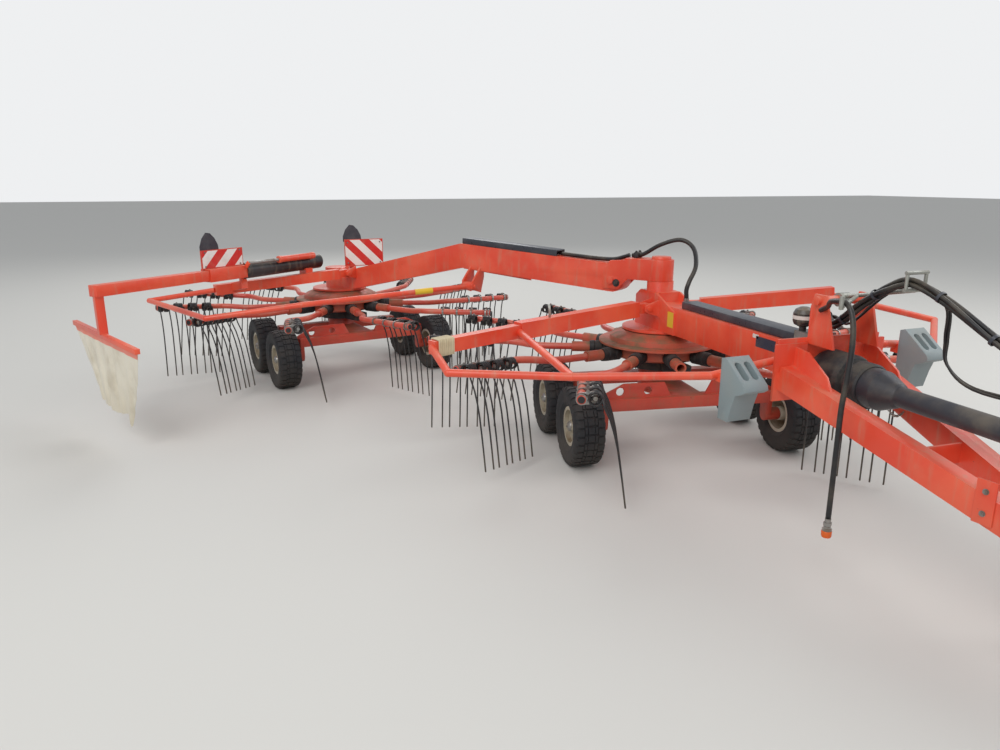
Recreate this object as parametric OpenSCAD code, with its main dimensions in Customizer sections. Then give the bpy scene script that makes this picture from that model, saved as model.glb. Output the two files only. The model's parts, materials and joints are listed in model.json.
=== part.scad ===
// Trailed twin rotor hay rake with side delivery, parked on its wheels and drawbar jack.
// It travels towards -Y, and its right-hand side, where the windrow curtain hangs, is -X.

/* [Wheels] */
// Outer radius of a tyre
tyre_r = 228; // [205:1:236]
// Width of a tyre
tyre_w = 176; // [160:4:180]
// Radius of the rim's seat under the tyre
rim_r = 102; // [92:1:116]
// Half track of the wheels
track = 655; // [640:1:658]
// Distance from the rotor's axis forward to the leading axle
axle_ahead = 490; // [470:2:492]
// Distance from the rotor's axis back to the trailing axle
axle_behind = 105; // [90:5:160]
// Turn of the front carriage against the main beam
front_turn = -7; // [-10:1:10]
// Turn of the rear carriage against the main beam
rear_turn = 13; // [5:1:25]
// Radius of a stub axle
stub_r = 20; // [16:1:24]

/* [Rotors] */
// Arms on each rotor
arm_count = 11; // [9:1:12]
// Radius of an arm's tube
arm_r = 22; // [19:1:24]
// Height of an arm's inner run
arm_z = 552; // [546:1:556]
// Rise of the outer run above the inner run
arm_rise = 26; // [15:1:32]
// Sweep of an arm's outer run against its inner run
arm_sweep = 23; // [18:0.5:24]
// Distance from the rotor's axis to the line of the outer run
arm_offset = 460; // [440:5:470]
// Length from the foot of that distance to the arm's outer end
arm_reach = 1403; // [1380:1:1404]
// Length of the arm that is left past its outermost tine
tine_end = 6.5; // [6:0.5:9]
// Distance between neighbouring tines
tine_pitch = 57.5; // [55:0.5:57.5]
// Tines on an arm
tine_count = 8; // [6:2:8]
// Roll of an arm where the cam lifts its tines
cam_roll = 12; // [0:1:14]
// Thickness of a tine's wire
tine_d = 9.5; // [8:0.5:11]
// Height of the tine tips above the ground
tine_clear = 25; // [15:1:60]
// Radius of the rotor's dish
dish_r = 370; // [350:5:385]
// Radius of the painted cap over the hub
cap_r = 300; // [280:5:310]
// Radius of the fixed column inside the hub
column_r = 95; // [85:1:100]
// Direction of the front rotor's first arm
front_phase = 189.5; // [180:0.5:200]
// Number of the front arm that is off its stub
missing_arm = 2; // [0:1:8]
// Direction of the rear rotor's first arm, in the rear unit
rear_phase = 24; // [12:1:36]

/* [Front frame] */
// Underside of the main beam
beam_z = 700; // [698:1:706]
// Depth of the main beam
beam_h = 165; // [155:1:170]
// Width of the main beam
beam_w = 150; // [136:1:156]
// Distance from the rotor's axis to the beam's front end
beam_front = 1480; // [1460:5:1500]
// Thickness of brackets and plates
plate_t = 12; // [8:1:14]
// Height of the guard frame's front corners
guard_z = 725; // [710:1:740]
// Radius of a guard tube
guard_r = 19; // [16:1:21]

/* [Boom] */
// Distance between the two rotor axes
hub_gap = 3020; // [3000:5:3060]
// Direction of the boom, outwards from straight behind the front rotor
boom_yaw = 35; // [34:0.5:36]
// Turn of the rear unit against the front frame
unit_yaw = 25; // [24:0.5:26]
// Distance from the tower's axis to the boom's lift pin
lift_out = 316; // [308:1:326]
// Height of the lift pin
lift_z = 970; // [962:1:978]
// Width of the boom
boom_w = 110; // [100:1:118]
// Depth of the boom's box
boom_h = 180; // [170:1:186]
// Distance from the tower's axis to the crest
crest_out = 1590; // [1560:5:1620]
// Height of the crest's top
crest_z = 1142; // [1130:1:1155]

/* [Drawbar] */
// Distance from the front rotor's axis to the drawbar's nose
nose_out = 2760; // [2730:5:2790]
// Height of the nose's middle
nose_z = 422; // [412:1:430]
// Height of the drawbar's middle at its root
root_z = 758; // [750:1:766]
// Half spacing of the drawbar's beams at their root
root_x = 232; // [226:1:240]
// Width of a drawbar beam
bar_w = 80; // [72:1:86]
// Depth of a drawbar beam
bar_h = 104; // [96:1:110]
// Radius of the hitch ring's eye
eye_r = 25; // [24:0.5:26]
// Height of the drive line
drive_z = 757; // [752:1:762]

/* [Curtain] */
// Distance from the rear rotor's axis to the curtain's hanger
curtain_out = 2245; // [2230:5:2280]
// Direction of the curtain's arm, in the rear unit
curtain_yaw = 199; // [198:0.5:200]
// Height of the curtain's top edge
curtain_top = 680; // [670:1:690]
// Drop of the cloth
curtain_drop = 430; // [410:5:460]
// Length of the curtain's bar
curtain_len = 1240; // [1200:5:1260]

/* [Hidden] */

// The middle of the whole machine, measured from the front rotor's axis
middle = [-1051, 423, 0];

// Colours
orange = [0.86, 0.20, 0.10];
black = [0.06, 0.06, 0.07];
steel = [0.42, 0.42, 0.42];
grey = [0.55, 0.60, 0.62];
cream = [0.80, 0.78, 0.72];
brown = [0.45, 0.33, 0.24];

// Gap between a pin and its bore, and gap between pieces that are bolted or welded together
running = 0.1;
seat = 0.3;
// Gap between pieces that pass each other
pass = 6;

// Heights inside a rotor, from the ground up
pin_low = 268;
sleeve_low = 292;
sleeve_top = 436;
drum_low = 516;
drum_top = 584;
dish_z = 600;
cap_z = 678;
flange_low = cap_z + pass;
// Radii inside a rotor
pin_r = 60;
drum_r = 300;
socket_r = 33;
socket_end = 545;
socket_mouth = 400;
boot_r = 43;
flange_r = 226;

// Wheel places: side across the carriage, distance ahead of the rotor's axis
SIDE = 0;
AHEAD = 1;
wheels = [[-1, axle_ahead], [1, axle_ahead], [-1, -axle_behind], [1, -axle_behind]];
bead = tyre_w / 3;
rim_wall = 6;
hub_in = 60;
boss_r = 38;

// Frames of reference
rear_hub = hub_gap * [-sin(boom_yaw), cos(boom_yaw), 0];
module machine() translate(-middle) children();
module boom_frame() machine() rotate([0, 0, boom_yaw]) children();
module rear_unit() machine() translate(rear_hub) rotate([0, 0, unit_yaw]) children();
module front_chassis() machine() rotate([0, 0, front_turn]) children();
module rear_chassis() machine() translate(rear_hub) rotate([0, 0, rear_turn]) children();

// Stands what follows at a, with its own z axis pointing to b
module along(a, b) {
  v = b - a;
  translate(a)
    rotate([0, acos(v[2] / norm(v)), atan2(v[1], v[0])])
      children();
}

// A round bar from a to b
module rod(a, b, r) along(a, b) cylinder(r = r, h = norm(b - a), $fn = 32);

// A round tube through points, with a slightly swollen ball at each bend, whose poles lie inside the tube
module bent(points, r) {
  for (i = [1 : len(points) - 1]) rod(points[i - 1], points[i], r);
  for (i = [1 : len(points) - 2]) along(points[i], points[i + 1]) sphere(r = r + 1, $fn = 32);
}

// A box section from a to b, w wide and h deep
module bar(a, b, w, h) {
  v = b - a;
  translate(a)
    rotate([0, -atan2(v[2], norm([v[0], v[1]])), atan2(v[1], v[0])])
      translate([0, -w / 2, -h / 2])
        cube([norm(v), w, h]);
}

// A plate cut from an outline of [y, z] points, standing across x
module upright(outline, x, t) {
  translate([x - t / 2, 0, 0])
    rotate([90, 0, 90])
      linear_extrude(height = t) polygon(outline);
}

// A plate cut from an outline of [x, z] points, standing across y
module crosswise(outline, y, t) {
  translate([0, y + t / 2, 0])
    rotate([90, 0, 0])
      linear_extrude(height = t) polygon(outline);
}

// Unit vector of v, and its left-hand normal
function unit(v) = v / norm(v);
function normal(v) = [-v[1], v[0]];

// Normal of a flat path at point i, lengthened so that a strip keeps its width round a bend
function mitre(path, i) =
  let (
    last = len(path) - 1,
    before = unit(path[max(i, 1)] - path[max(i, 1) - 1]),
    after = unit(path[min(i, last - 1) + 1] - path[min(i, last - 1)]),
    middle_way = unit(before + after)
  )
  normal(middle_way) / (middle_way * before);

// Outline of a strip of the given width along a flat path
function strip(path, width) = concat(
  [for (i = [0 : len(path) - 1]) path[i] + mitre(path, i) * width / 2],
  [for (i = [len(path) - 1 : -1 : 0]) path[i] - mitre(path, i) * width / 2]
);

// A smooth curve through points, with four steps from each point to the next
function blend(a, b, c, d, t) =
  0.5 * (2 * b + t * (c - a) + t * t * (2 * a - 5 * b + 4 * c - d) + t * t * t * (3 * b - a - 3 * c + d));
function curve(p) = concat(
  [for (i = [0 : len(p) - 2], k = [0 : 3])
    blend(p[max(i - 1, 0)], p[i], p[i + 1], p[min(i + 2, len(p) - 1)], k / 4)],
  [p[len(p) - 1]]
);

// A hose swept along a smooth curve that never runs straight across the machine
function hose_side(line, i) =
  unit(cross(line[min(i + 1, len(line) - 1)] - line[max(i - 1, 0)], [1, 0, 0]));
function hose_ring(line, i, r, sides) =
  let (
    ahead = unit(line[min(i + 1, len(line) - 1)] - line[max(i - 1, 0)]),
    side = hose_side(line, i),
    other = cross(ahead, side)
  )
  [for (k = [0 : sides - 1]) line[i] + r * (side * cos(360 * k / sides) + other * sin(360 * k / sides))];
module hose(points, r, sides) {
  line = curve(points);
  n = len(line);
  walls = [for (i = [0 : n - 2], k = [0 : sides - 1])
    let (a = i * sides + k, b = i * sides + (k + 1) % sides)
    [a, a + sides, b + sides, b]
  ];
  caps = [[for (k = [0 : sides - 1]) k], [for (k = [sides - 1 : -1 : 0]) (n - 1) * sides + k]];
  polyhedron(points = [for (i = [0 : n - 1]) each hose_ring(line, i, r, sides)], faces = concat(caps, walls));
}

// Wheels

module wheel_axis(w) {
  translate([w[SIDE] * track, -w[AHEAD], tyre_r])
    rotate([0, 90 * w[SIDE], 0])
      children();
}

module tyre(w) {
  half = [
    [rim_r + seat, bead],
    [rim_r + 15, bead],
    [rim_r + 32, tyre_w * 0.44],
    [tyre_r - 62, tyre_w * 0.49],
    [tyre_r - 42, tyre_w / 2],
    [tyre_r - 16, tyre_w * 0.47],
    [tyre_r - 4, tyre_w * 0.40],
    [tyre_r, tyre_w * 0.22]
  ];
  last = len(half) - 1;
  color(black)
    wheel_axis(w)
      rotate_extrude($fn = 48)
        polygon(concat(half, [for (i = [last : -1 : 0]) [half[i][0], -half[i][1]]]));
}

module rim(w) {
  bore = stub_r + running;
  flange = rim_r + 13;
  edge = bead + seat;
  color(cream)
    wheel_axis(w)
      rotate_extrude($fn = 48) {
        polygon([
          [rim_r - rim_wall, -edge - 6], [flange, -edge - 6], [flange, -edge], [rim_r, -edge],
          [rim_r, edge], [flange, edge], [flange, edge + 6], [rim_r - rim_wall, edge + 6]
        ]);
        polygon([[40, 4], [rim_r - rim_wall, 30], [rim_r - rim_wall, 38], [40, 14]]);
        polygon([
          [bore, -hub_in], [42, -hub_in], [42, 36], [32, 58], [0, 58], [0, 46], [bore, 46]
        ]);
      }
}

// The carriage that runs on the four wheels and carries the column

module carriage() {
  deck_z = 345;
  deck_h = 70;
  boss_end = hub_in + pass;
  color(orange)
    difference() {
      union() {
        for (w = wheels) {
          reach = track - tyre_w / 2 - 40;
          inner = [0, -w[AHEAD], deck_z];
          corner = [w[SIDE] * reach, -w[AHEAD], deck_z];
          bar(inner, corner, 80, deck_h);
          // Knuckle, boss and stub axle
          upright([
            [-w[AHEAD] - 42, deck_z + deck_h / 2], [-w[AHEAD] + 42, deck_z + deck_h / 2],
            [-w[AHEAD] + 40, tyre_r], [-w[AHEAD] - 40, tyre_r]
          ], w[SIDE] * (reach - 15), 30);
          wheel_axis(w) {
            translate([0, 0, -track + reach - 30]) cylinder(r = boss_r, h = track - reach + 30 - boss_end, $fn = 32);
            translate([0, 0, -boss_end - 1]) cylinder(r = stub_r, h = boss_end + 46, $fn = 32);
          }
        }
        bar([0, -axle_ahead, deck_z], [0, axle_behind, deck_z], 190, deck_h);
        cylinder_between(pin_r + running, 112, sleeve_low, sleeve_top);
        // Web plates with lightening holes, from the leading cross tube up to the sleeve
        for (side = [-1, 1])
          difference() {
            crosswise([
              [side * 540, deck_z], [side * 540, deck_z + 50], [side * 400, deck_z + 118],
              [side * 150, deck_z + 118], [side * 90, deck_z]
            ], -axle_ahead, plate_t);
            for (hole = [250, 420])
              translate([side * hole, -axle_ahead, deck_z + 72])
                rotate([90, 0, 0])
                  cylinder(r = 24, h = 4 * plate_t, center = true, $fn = 32);
          }
      }
      translate([0, 0, sleeve_low - 50]) cylinder(r = pin_r + running, h = 300, $fn = 64);
    }
}

module cylinder_between(bore, r, low, high) {
  translate([0, 0, low])
    difference() {
      cylinder(r = r, h = high - low, $fn = 64);
      translate([0, 0, -1]) cylinder(r = bore, h = high - low + 2, $fn = 64);
    }
}

// The fixed column that stands in the carriage and carries the beam or the boom

module column() {
  rotate_extrude($fn = 96)
    polygon([
      [0, pin_low], [78, pin_low], [78, sleeve_low - seat], [pin_r, sleeve_low - seat],
      [pin_r, sleeve_top + seat], [column_r, sleeve_top + seat], [column_r, flange_low],
      [flange_r, flange_low], [flange_r, beam_z], [0, beam_z]
    ]);
}

// Cast housing under the hub
module gear_housing() {
  low = sleeve_top + pass;
  high = drum_low - pass;
  color(steel)
    difference() {
      union() {
        translate([0, 0, low]) cylinder(r = 172, h = high - low, $fn = 64);
        translate([-62, -300, low + 3]) cube([124, 300, high - low - 11]);
        translate([0, -300, low + 3]) cylinder(r = 62, h = high - low - 11, $fn = 48);
      }
      translate([0, 0, low - 1]) cylinder(r = column_r + seat, h = high - low + 2, $fn = 96);
    }
}

// Rotors

module on_arm(i, phase) rotate([0, 0, phase + i * 360 / arm_count]) children();

module hub(phase) {
  color(orange)
    difference() {
      union() {
        rotate_extrude($fn = 96)
          polygon([
            [column_r + running, drum_low], [drum_r - 20, drum_low], [drum_r, drum_low + 14],
            [drum_r, dish_z - 4], [dish_r, dish_z - 4], [dish_r, dish_z + 8],
            [cap_r + 4, dish_z + 14], [cap_r, dish_z + 40], [cap_r - 16, dish_z + 52],
            [flange_r + 20, cap_z - 10], [flange_r, cap_z], [column_r + running, cap_z]
          ]);
        for (i = [0 : arm_count - 1])
          on_arm(i, phase)
            translate([drum_r - 30, 0, arm_z])
              rotate([0, 90, 0])
                cylinder(r = socket_r, h = socket_end - drum_r + 30, $fn = 32);
      }
      for (i = [0 : arm_count - 1])
        on_arm(i, phase)
          translate([socket_mouth, 0, arm_z])
            rotate([0, 90, 0])
              cylinder(r = arm_r + seat, h = socket_end, $fn = 32);
    }
}

// Rubber boots at the roots of the arms
module boots(phase) {
  color(black)
    for (i = [0 : arm_count - 1])
      on_arm(i, phase)
        translate([drum_r + 6, 0, arm_z])
          rotate([0, 90, 0])
            rotate_extrude($fn = 32)
              polygon([
                [socket_r + seat, 0], [boot_r, 0], [boot_r, 34], [boot_r - 4, 40], [boot_r, 46],
                [boot_r, 84], [boot_r - 4, 90], [boot_r, 96], [boot_r - 3, 124], [socket_r + seat, 124]
              ]);
}

// The cam rolls the arms on the delivery side, so that their tines trail further and lift
function cam(direction) = cam_roll * max(0, cos(direction - 165)) ^ 0.5;
module rolled(i, phase)
  on_arm(i, phase)
    translate([0, 0, arm_z])
      rotate([cam(phase + i * 360 / arm_count), 0, 0])
        children();

// The line of the outer run: along it from the foot of arm_offset, and behind it
module outer_run() rotate([0, 0, arm_sweep]) translate([0, -arm_offset, arm_rise]) children();
function on_run(along) = [
  along * cos(arm_sweep) + arm_offset * sin(arm_sweep), along * sin(arm_sweep) - arm_offset * cos(arm_sweep), arm_rise
];

module arms(phase, skip) {
  color(orange)
    for (i = [0 : arm_count - 1])
      if (i != skip)
        rolled(i, phase)
          bent([
            [socket_mouth + 1, 0, 0], [745, 0, 0], [815, -14, 5], [885, -46, 15], [950, -76, 23],
            on_run(885), on_run(arm_reach)
          ], arm_r);
}

// Clamp plates along an arm's outer run, the coil springs behind it, and a tine from each coil
coil_r = 36;
coil_back = 66;
module tines(phase, skip) {
  coil_half = tine_pitch * 0.36;
  drop = arm_z + arm_rise - tine_clear;
  wire = [
    [coil_r - tine_d / 2 - 1, 4], [coil_r - tine_d / 2, -22], [58, -110], [76, -250], [82, -drop]
  ];
  row = [for (k = [tine_count - 1 : -1 : 0]) arm_reach - tine_end - k * tine_pitch];
  profile = [for (x = row) each [
    [coil_r - 6, x - tine_pitch / 2], [coil_r - 6, x - coil_half],
    [coil_r, x - coil_half], [coil_r, x + coil_half],
    [coil_r - 6, x + coil_half], [coil_r - 6, x + tine_pitch / 2]
  ]];
  start = profile[0][1];
  finish = profile[len(profile) - 1][1];
  color(black)
    for (i = [0 : arm_count - 1])
      if (i != skip)
        rolled(i, phase)
          outer_run() {
            translate([0, coil_back, -6]) {
              rotate([90, 0, 90])
                rotate_extrude($fn = 32)
                  polygon(concat(profile, [[11, finish], [11, start]]));
              for (x = row)
                translate([x - tine_d / 2, 0, 0])
                  rotate([90, 0, 90])
                    linear_extrude(height = tine_d) polygon(strip(wire, tine_d));
            }
            // A saddle on the arm for each pair of coils
            for (k = [0 : 2 : tine_count - 2])
              translate([row[k] + tine_pitch / 2 - 7, 0, 0])
                rotate([90, 0, 90])
                  linear_extrude(height = 14)
                    difference() {
                      polygon([[-10, 28], [12, 32], [coil_back - 8, 16], [coil_back - 8, -22], [12, -32], [-10, -28]]);
                      circle(r = arm_r + seat, $fn = 48);
                    }
          }
}

// Main beam with its column, its tower and the lugs for the guards

module main_beam() {
  top = beam_z + beam_h;
  cheek = beam_w / 2 + plate_t / 2;
  color(orange)
    machine() {
      column();
      translate([-beam_w / 2, -beam_front, beam_z]) cube([beam_w, beam_front + 130, beam_h]);
      for (side = [-1, 1]) {
        upright([
          [-330, beam_z], [150, beam_z], [150, top + 20], [90, top + 60], [-110, top + 60], [-330, top - 30]
        ], side * cheek, plate_t);
        lugs(side, hinge_x, hinge_y, hinge_z, beam_w / 2 + plate_t - 1);
      }
      translate([-cheek, -110, top]) cube([2 * cheek, 200, 60]);
      rotate_extrude($fn = 64)
        polygon([
          [0, top], [82, top], [82, yoke_low - seat], [tower_pin - running, yoke_low - seat],
          [tower_pin - running, yoke_top + seat], [62, yoke_top + seat], [58, yoke_top + 18], [0, yoke_top + 22]
        ]);
      // Front end plate
      translate([-beam_w / 2 - 15, -beam_front - 16, beam_z - 12]) cube([beam_w + 30, 17, beam_h + 24]);
    }
}
tower_pin = 45;
yoke_low = 985;
yoke_top = 1118;

// Hinges of the guard frames: a pin between two lugs, and a barrel that turns on it
hinge_x = 152;
hinge_y = -100;
hinge_z = 836;
hinge_pin = 15;
barrel_r = 32;
barrel_l = 76;
lug_t = 14;
module lugs(side, x, y, z, foot) {
  for (end = [-1, 1])
    crosswise([
      [side * foot, z - 52], [side * x, z - 30], [side * (x + 30), z - 16], [side * (x + 30), z + 16],
      [side * x, z + 30], [side * foot, z + 52]
    ], y + end * (barrel_l / 2 + 1 + lug_t / 2), lug_t);
  translate([side * x, y + barrel_l / 2 + lug_t + 10, z])
    rotate([90, 0, 0])
      cylinder(r = hinge_pin, h = barrel_l + 2 * lug_t + 20, $fn = 32);
}
module barrel(x, y, z, r, l) {
  translate([x, y + l / 2, z]) rotate([90, 0, 0]) cylinder(r = r, h = l, $fn = 48);
}

// Hose cover on the main beam, an open channel
cover_w = 104;
cover_h = 42;
module hose_cover(outline_length) {
  difference() {
    translate([-cover_w / 2, 0, 0]) cube([cover_w, outline_length, cover_h]);
    translate([-cover_w / 2 + 8, -1, -1]) cube([cover_w - 16, outline_length + 2, cover_h - 9]);
  }
}

module beam_cover() {
  color(black)
    machine()
      translate([0, -beam_front + 150, beam_z + beam_h + seat])
        hose_cover(beam_front - 500);
}

// Headstock at the beam's front end, with its mast
head_y = -beam_front - 16;
mast_top = 1122;
mast_bar = [head_y - 60, mast_top - 26];
module headstock() {
  color(orange)
    machine() {
      difference() {
        translate([-root_x - 40, head_y - plate_t - seat, 655]) cube([2 * root_x + 80, plate_t, 270]);
        translate([0, head_y, drive_z]) rotate([90, 0, 0]) cylinder(r = 60, h = 4 * plate_t, center = true, $fn = 48);
      }
      for (side = [-1, 1])
        upright([
          [head_y - plate_t, 900], [head_y - 170, 900], [head_y - 100, mast_top], [head_y - 30, mast_top],
          [head_y - plate_t, mast_top - 60]
        ], side * 118, plate_t);
      rod([-140, mast_bar[0], mast_bar[1]], [140, mast_bar[0], mast_bar[1]], 19);
    }
}

// Drawbar: two box beams that run together at the nose, with a bolted foot on each
foot_y = head_y - plate_t - 2 * seat;
bar_root = [root_x, foot_y - 4, root_z];
bar_nose = [bar_w / 2 - 6, -nose_out, nose_z];
module drawbar() {
  along = (bar_root + bar_nose) / 2;
  color(orange)
    machine()
      difference() {
        union() {
          for (side = [-1, 1]) {
            from = [side * bar_root[0], bar_root[1], bar_root[2]];
            to = [side * bar_nose[0], bar_nose[1], bar_nose[2]];
            bar(from, to, bar_w, bar_h);
            translate([side * 211 - 81, foot_y - 14, 650]) cube([162, 14, 255]);
            upright([
              [foot_y - 4, 890], [foot_y - 4, 700], [foot_y - 300, 650], [foot_y - 215, 800], [foot_y - 90, 880]
            ], side * (root_x - bar_w / 2 - 6), plate_t);
          }
          translate([-along[0], along[1] - 20, along[2] - 40]) cube([2 * along[0], plate_t, 80]);
          translate([-70, -nose_out - 30, nose_z - 62]) cube([140, 70, 124]);
          // Rest for the parked drive shaft
          crosswise([
            [-40, nose_z + 40], [40, nose_z + 40], [46, drive_z - 10], [30, drive_z], [-30, drive_z],
            [-46, drive_z - 10]
          ], -nose_out + 12, plate_t);
        }
        translate([-500, foot_y, 500]) cube([1000, 200, 500]);
        translate([0, -nose_out + 60, drive_z]) rotate([90, 0, 0]) cylinder(r = shaft_r + seat, h = 100, $fn = 48);
      }
}

// Hitch head bolted to the nose, with the sleeve for the swivelling ring
shank_r = 28;
module hitch_head() {
  front = -nose_out - 30 - seat;
  color(orange)
    machine() {
      difference() {
        union() {
          translate([-70, front - 18, nose_z - 62]) cube([140, 18, 124]);
          translate([0, front - 160, nose_z]) rotate([-90, 0, 0]) cylinder(r = 48, h = 150, $fn = 48);
          for (side = [-1, 1])
            upright([[front - 10, nose_z + 60], [front - 10, nose_z - 60], [front - 120, nose_z - 30], [front - 120, nose_z + 30]], side * 48, plate_t);
          // Rack for the hose ends
          translate([46, front - 18, nose_z + 40]) cube([34, 18, drive_z - nose_z + 34]);
          translate([46, front - 60, drive_z + 70]) cube([90, 60, 8]);
        }
        translate([0, front + 1, nose_z]) rotate([90, 0, 0]) cylinder(r = shank_r + running, h = 200, $fn = 48);
      }
    }
}

module hitch_ring() {
  front = -nose_out - 30 - seat;
  eye_y = front - 262;
  color(steel)
    machine() {
      difference() {
        union() {
          translate([0, front - 18 - seat - 2, nose_z]) rotate([90, 0, 0]) cylinder(r = shank_r, h = 162, $fn = 48);
          translate([0, front - 160 - pass, nose_z]) rotate([90, 0, 0]) cylinder(r = 42, h = 50, $fn = 48);
          translate([0, eye_y, nose_z - 15]) cylinder(r = 62, h = 30, $fn = 64);
        }
        translate([0, eye_y, nose_z - 40]) cylinder(r = eye_r, h = 80, $fn = 64);
      }
    }
}

// Parking jack beside the drawbar
jack = [215, -2560];
jack_tube_r = 38;
jack_leg_r = 30;
module jack_tube() {
  color(orange)
    machine()
      difference() {
        union() {
          translate([jack[0], jack[1], 230]) cylinder(r = jack_tube_r, h = 560, $fn = 48);
          translate([jack[0], jack[1], 790]) cylinder(r = jack_tube_r + 6, h = 14, $fn = 48);
          rod([jack[0], jack[1], 800], [jack[0], jack[1], 850], 10);
          rod([jack[0] - 10, jack[1], 842], [jack[0] + 110, jack[1], 842], 8);
          rod([jack[0] + 110, jack[1], 836], [jack[0] + 110, jack[1], 920], 8);
          translate([bar_nose[0] + 60, jack[1] - 50, 440]) cube([jack[0] - bar_nose[0] - 80, 100, plate_t]);
          translate([bar_nose[0] + 60, jack[1] - 50, 500]) cube([jack[0] - bar_nose[0] - 80, 100, plate_t]);
        }
        translate([jack[0], jack[1], 229]) cylinder(r = jack_leg_r + running, h = 520, $fn = 48);
        for (side = [-1, 1])
          bar([side * bar_root[0], bar_root[1], bar_root[2]], [side * bar_nose[0], bar_nose[1], bar_nose[2]], bar_w + 2 * seat, bar_h + 2 * seat);
      }
}

module jack_leg() {
  color(steel)
    machine() {
      translate([jack[0], jack[1], 0]) cylinder(r = 95, h = 10, $fn = 48);
      translate([jack[0], jack[1], 9]) cylinder(r = jack_leg_r, h = 591, $fn = 48);
    }
}

// Input gearbox between the headstock's plates, with its clutch guard
box_y = foot_y;
module input_gearbox() {
  color(steel)
    machine()
      translate([0, box_y, drive_z])
        rotate([90, 0, 0])
          rotate_extrude($fn = 64)
            polygon([
              [0, 0], [105, 0], [112, 20], [112, 150], [104, 172], [84, 180], [84, 196],
              [98, 200], [98, 262], [90, 270], [0, 270]
            ]);
}

pto_y = box_y - 270 - seat;
shaft_r = 37;
module pto_shaft() {
  front = -nose_out - 210;
  span = pto_y - front;
  color(black)
    machine()
      translate([0, pto_y, drive_z])
        rotate([90, 0, 0])
          rotate_extrude($fn = 48)
            polygon([
              [0, 0], [86, 0], [84, 60], [52, 140], [42, 150], [42, span * 0.55], [shaft_r, span * 0.55],
              [shaft_r, span - 150], [50, span - 140], [72, span - 60], [74, span], [0, span]
            ]);
}

// Valve block and accumulator on the beam's front end
valve_y = -beam_front + 70;
module valve_block() {
  color(steel)
    machine() {
      translate([-70, valve_y - 55, beam_z + beam_h + seat]) cube([140, 110, 62]);
      for (x = [-45, -15, 15, 45])
        translate([x, valve_y - 25, beam_z + beam_h + 60]) cylinder(r = 11, h = 32, $fn = 24);
    }
}

module accumulator() {
  color(black)
    machine()
      translate([-48, valve_y + 28, beam_z + beam_h + 62 + 2 * seat])
        rotate_extrude($fn = 48)
          polygon([[0, 0], [16, 0], [16, 18], [40, 30], [47, 46], [47, 82], [38, 100], [20, 110], [0, 112]]);
}

// Galvanised hose stand with its loop and its side hook
loop_y = -1925;
loop_z = 1258;
hook_z = 1122;
hook_r = 8;
module hose_stand() {
  foot = [0, mast_bar[0] - 10, mast_bar[1] + 14];
  low = loop_z - 72;
  color(grey)
    machine()
      difference() {
        union() {
          translate([-26, mast_bar[0], mast_bar[1]]) rotate([0, 90, 0]) cylinder(r = 30, h = 52, $fn = 48);
          rod(foot, [0, loop_y, low], 9);
          rod([-54, loop_y, low], [54, loop_y, low], 7.5);
          for (side = [-1, 1]) rod([side * 46, loop_y, low], [side * 46, loop_y, loop_z], 7);
          rod([-54, loop_y, loop_z - 4], [54, loop_y, loop_z - 4], 7.5);
          // Hook for the hanging hose
          rod([0, -1640, 1125], [-290, -1866, hook_z], hook_r);
          rod([-286, -1863, hook_z - 6], [-286, -1863, hook_z + 44], hook_r + 1);
        }
        translate([-150, mast_bar[0], mast_bar[1]]) rotate([0, 90, 0]) cylinder(r = 19 + seat, h = 300, $fn = 48);
      }
}

// Hydraulic hoses from the valve block through the loop to the rack on the hitch head
hose_r = 22;
thin_r = 11;
through = loop_z - 72 + 7.5 + 2 * seat;
module hoses() {
  rack = drive_z + 78 + seat;
  port = beam_z + beam_h + 62 + 6 * seat;
  color(black)
    machine() {
      hose([
        [24, valve_y + 26, port], [22, valve_y + 14.6, port + 60], [4, -1468, 1010], [-34, -1570, 990],
        [-42, -1720, 1108], [-38, -1830, 1180], [-15, loop_y, through + hose_r],
        [10, -2070, 1160], [40, -2300, 1030], [70, -2600, 900], [85, -2820, rack + hose_r]
      ], hose_r, 12);
      hose([
        [58, valve_y + 26, port], [57.6, valve_y + 17.1, port + 52], [54, -1470, 1000], [46, -1570, 992],
        [46, -1750, 1150], [24, loop_y, through + thin_r],
        [90, -2000, 1130], [122, -1990, 1000], [122, -2010, 900], [112, -2150, 838], [108, -2450, 850],
        [110, -2700, 860], [112, -2820, rack + thin_r]
      ], thin_r, 8);
    }
}

// Hose that hangs free over the hook, and its capped coupling
drop_r = 11;
drop_end = [-304, -1944, 280];
module drop_hose() {
  color(black)
    machine()
      hose([
        [-137, head_y - 90, 1060], [-150, -1640, 1085], [-196, -1700, 1112], [-246, -1770, 1132],
        [-262, -1844, hook_z + hook_r + drop_r + 2 * seat], [-266, -1888, 1122], [-270, -1918, 1060],
        [-278, -1934, 970], [-292, -1942, 860], [-304, -1944, 740], [-304, -1944, 600],
        [-304, -1944, 440], drop_end
      ], drop_r, 10);
}
module drop_coupling() {
  color(steel)
    machine()
      translate(drop_end - [0, 0, 78 + seat])
        rotate_extrude($fn = 32)
          polygon([[0, 0], [17, 0], [19, 6], [19, 34], [14, 38], [14, 60], [12, 62], [12, 78], [0, 78]]);
}

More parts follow.
